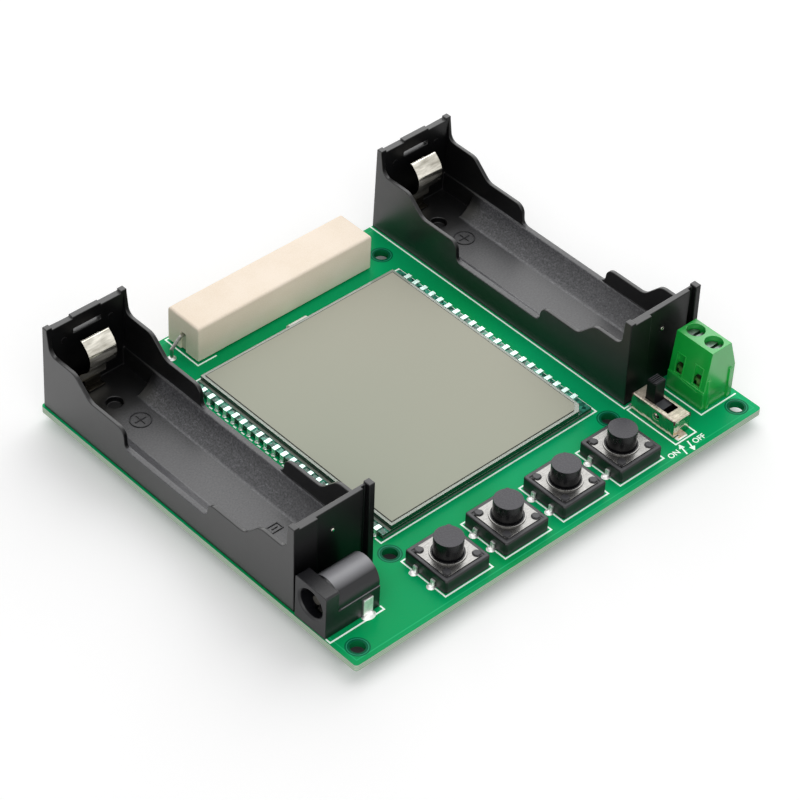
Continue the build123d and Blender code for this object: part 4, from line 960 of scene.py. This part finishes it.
for foot_y in foot_places:
    beds.append(brick((foot_x, foot_y, 0.11), (2.9, 1.1, 0.22)))
    feet.append(brick((foot_x, foot_y, 0.2), (1.7, 0.4, 0.2)))
finished(beds, "switch_foot_solder", "board", "tinned_wire", 0.1, "solder", 2)
finished(feet, "switch_foot_tabs", "board", "tinned_wire", 0.05, "bar_brass")

# %% [markdown]
# ## Button trim
# A push button of this kind is a moulded base, a pressed cover and four plastic posts that are melted
# over the cover like rivets. The cover's hole has a rolled collar, which keeps the plunger upright. The
# post heads are round and slightly domed, and stand in shallow dimples.

# %% Collars and post heads
cover_top = 3.45
collar_outer, collar_inner, collar_height = 7.7, 6.9, 0.26
post_reach, post_width, post_height, post_sunk = 4, 1.5, 0.42, 0.1
for number, (x, y) in enumerate(button_places, start=1):
    collar = ring((x, y, cover_top), collar_outer, collar_inner, collar_height, 40)
    finished([collar], f"button_{number}_collar", "board", "button_cover", 0.07, segments=2)
    # Dark rings stand for the gap inside the collar and for the dimple round each post: the black base, with
    # painted shade.
    heads = [ring((x, y, cover_top), 6.95, 6.35, 0.08, 40)]
    for dx in (-post_reach, post_reach):
        for dy in (-post_reach, post_reach):
            heads.append(ring((x + dx, y + dy, cover_top), 2.0, 1.62, 0.05, 20))
            heads.append(stud((x + dx, y + dy, cover_top - post_sunk), post_width, post_height))
    finished(heads, f"button_{number}_post_heads", "board", "button_black", 0.05, "post_black", 2)

# %% [markdown]
# ## Marks moulded into the holders
# The mould carries a plus in a ring and a minus in a box, so that the cells go in the right way round.
# They stand 0.2 mm proud of the floor.

# %% Polarity marks
mark_height = 0.2
mark_width = 0.28
floor_z = 2.0
middle = floor_z + mark_height / 2
holder_corners = {"left": (0.4, 18.45), "right": (92.0, 19.0)}
for side, (low_x, low_y) in holder_corners.items():
    plus_x, plus_y = low_x + 11.0, low_y + 59.9
    minus_x, minus_y = low_x + 11.1, low_y + 18.4
    marks = [
        ring((plus_x, plus_y, floor_z), 4.8, 4.25, mark_height, 28),
        brick((plus_x, plus_y, middle), (2.9, mark_width, mark_height)),
        brick((plus_x, plus_y, middle), (mark_width, 2.9, mark_height)),
        brick((minus_x, minus_y, middle), (1.5, mark_width, mark_height)),
    ]
    for offset in (-0.9, 0.9):
        marks.append(brick((minus_x, minus_y + offset, middle), (2.8 + mark_width, mark_width, mark_height)))
    for offset in (-1.4, 1.4):
        marks.append(brick((minus_x + offset, minus_y, middle), (mark_width, 1.8, mark_height)))
    finished(marks, side + "_polarity_marks", "board", "holder_black", 0.05, "button_black")

# %% [markdown]
# ## Grip on the switch knob
# The knob's top is ribbed across the stroke, so that a fingertip doesn't slip off it. The ribs ride on
# the knob and move with it.

# %% Ribs on the knob
knob_x, knob_y, knob_top = 94.8, 13.45, 9.6
rib_pitch = 0.48
ribs = []
for number in range(5):
    rib_y = knob_y + rib_pitch * (number - 2)
    ribs.append(brick((knob_x, rib_y, knob_top), (2.7, 0.24, 0.3)))
finished(ribs, "switch_knob_ribs", "switch_knob", "slider_black", 0.05)

# %% [markdown]
# ## Raised lines on the terminal
# The housing is moulded in two halves of a die. Where they meet, and around each wire window, a thin
# raised line is left. It catches the light and shows as a pale outline. Each line is a bar laid from
# point to point on the face.

# %% Lines on the terminal
def bar(start, end, width):
    """Thin square bar between two places on the board, in millimetres."""
    first, last = at(*start), at(*end)
    along = last - first
    bpy.ops.mesh.primitive_cube_add(size=1, location=(first + last) / 2,
                                    rotation=along.to_track_quat("X", "Z").to_euler(),
                                    scale=(along.length + width * mm, width * mm, width * mm))
    return bpy.context.object


def bars(points, width):
    return [bar(start, end, width) for start, end in zip(points, points[1:])]


face_foot_x, face_foot_z, face_lean = 103.36, 5.0, 0.1155


def window_face(y, z):
    """Point on the leaning face that holds the windows."""
    return (face_foot_x + (z - face_foot_z) * face_lean, y, z)


window_half, window_top = 1.15, 10.15
parting_x = 103.08
parting = [(7.6, 4.4), (9.2, 4.0), (10.6, 4.25), (12.6, 4.4), (14.0, 4.7), (15.6, 4.65), (17.5, 4.85)]
terminal_lines = []
for _, pole_y in terminal_tails:
    near, far = pole_y - window_half, pole_y + window_half
    outline = [(near, face_foot_z), (near, window_top), (far, window_top), (far, face_foot_z)]
    terminal_lines += bars([window_face(y, z) for y, z in outline], 0.24)
terminal_lines += bars([(parting_x, y, z) for y, z in parting], 0.22)
finished(terminal_lines, "terminal_raised_lines", "board", "terminal_green", 0.04)

# %% [markdown]
# ## Marks on the end plates
# A small metal rivet shows on the outside of each front plate, where the contact is held, in a round
# mark of the plastic. Two more round marks on each back plate were left by the pins that push the holder
# out of its mould.

# %% Rivets and ejector marks
def facing_front(x, face_y, z, diameter, height):
    """Short stud on a face that looks to the front."""
    bpy.ops.mesh.primitive_cylinder_add(vertices=20, radius=diameter / 2 * mm, depth=height * mm,
                                        rotation=(math.pi / 2, 0, 0), location=at(x, face_y, z))
    return bpy.context.object


rivet_offset, rivet_z = 10.4, 14.9
mark_offsets, mark_z = (4.3, 16.4), 16.6
rivets = []
plate_marks = []
for holder_x, front_y, back_y in ((0.4, 19.45, 94.25), (92.0, 20.0, 94.8)):
    rivets.append(facing_front(holder_x + rivet_offset, front_y, rivet_z, 0.9, 0.4))
    plate_marks.append(facing_front(holder_x + rivet_offset, front_y, rivet_z, 1.7, 0.16))
    for offset in mark_offsets:
        plate_marks.append(facing_front(holder_x + offset, back_y, mark_z, 1.5, 0.16))
finished(rivets, "front_plate_rivets", "board", "contact_nickel", 0.1, segments=2)
finished(plate_marks, "plate_marks", "board", "holder_black", 0.05, segments=2)

# %% [markdown]
# ## Relief slits of the switch shell
# The shell is folded from one sheet. A round slit at the top of each corner keeps the sheet from tearing
# at the bend. Each slit is drawn as a dark stud of the base's plastic, a painted shade for the opening.

# %% Corner slits
slits = []
for slit_x in (92.52, 97.08):
    for slit_y in (5.52, 17.38):
        slits.append(stud((slit_x, slit_y, 3.6), 0.42, 0.95, 12))
finished(slits, "switch_corner_slits", "board", "switch_base", 0.05)
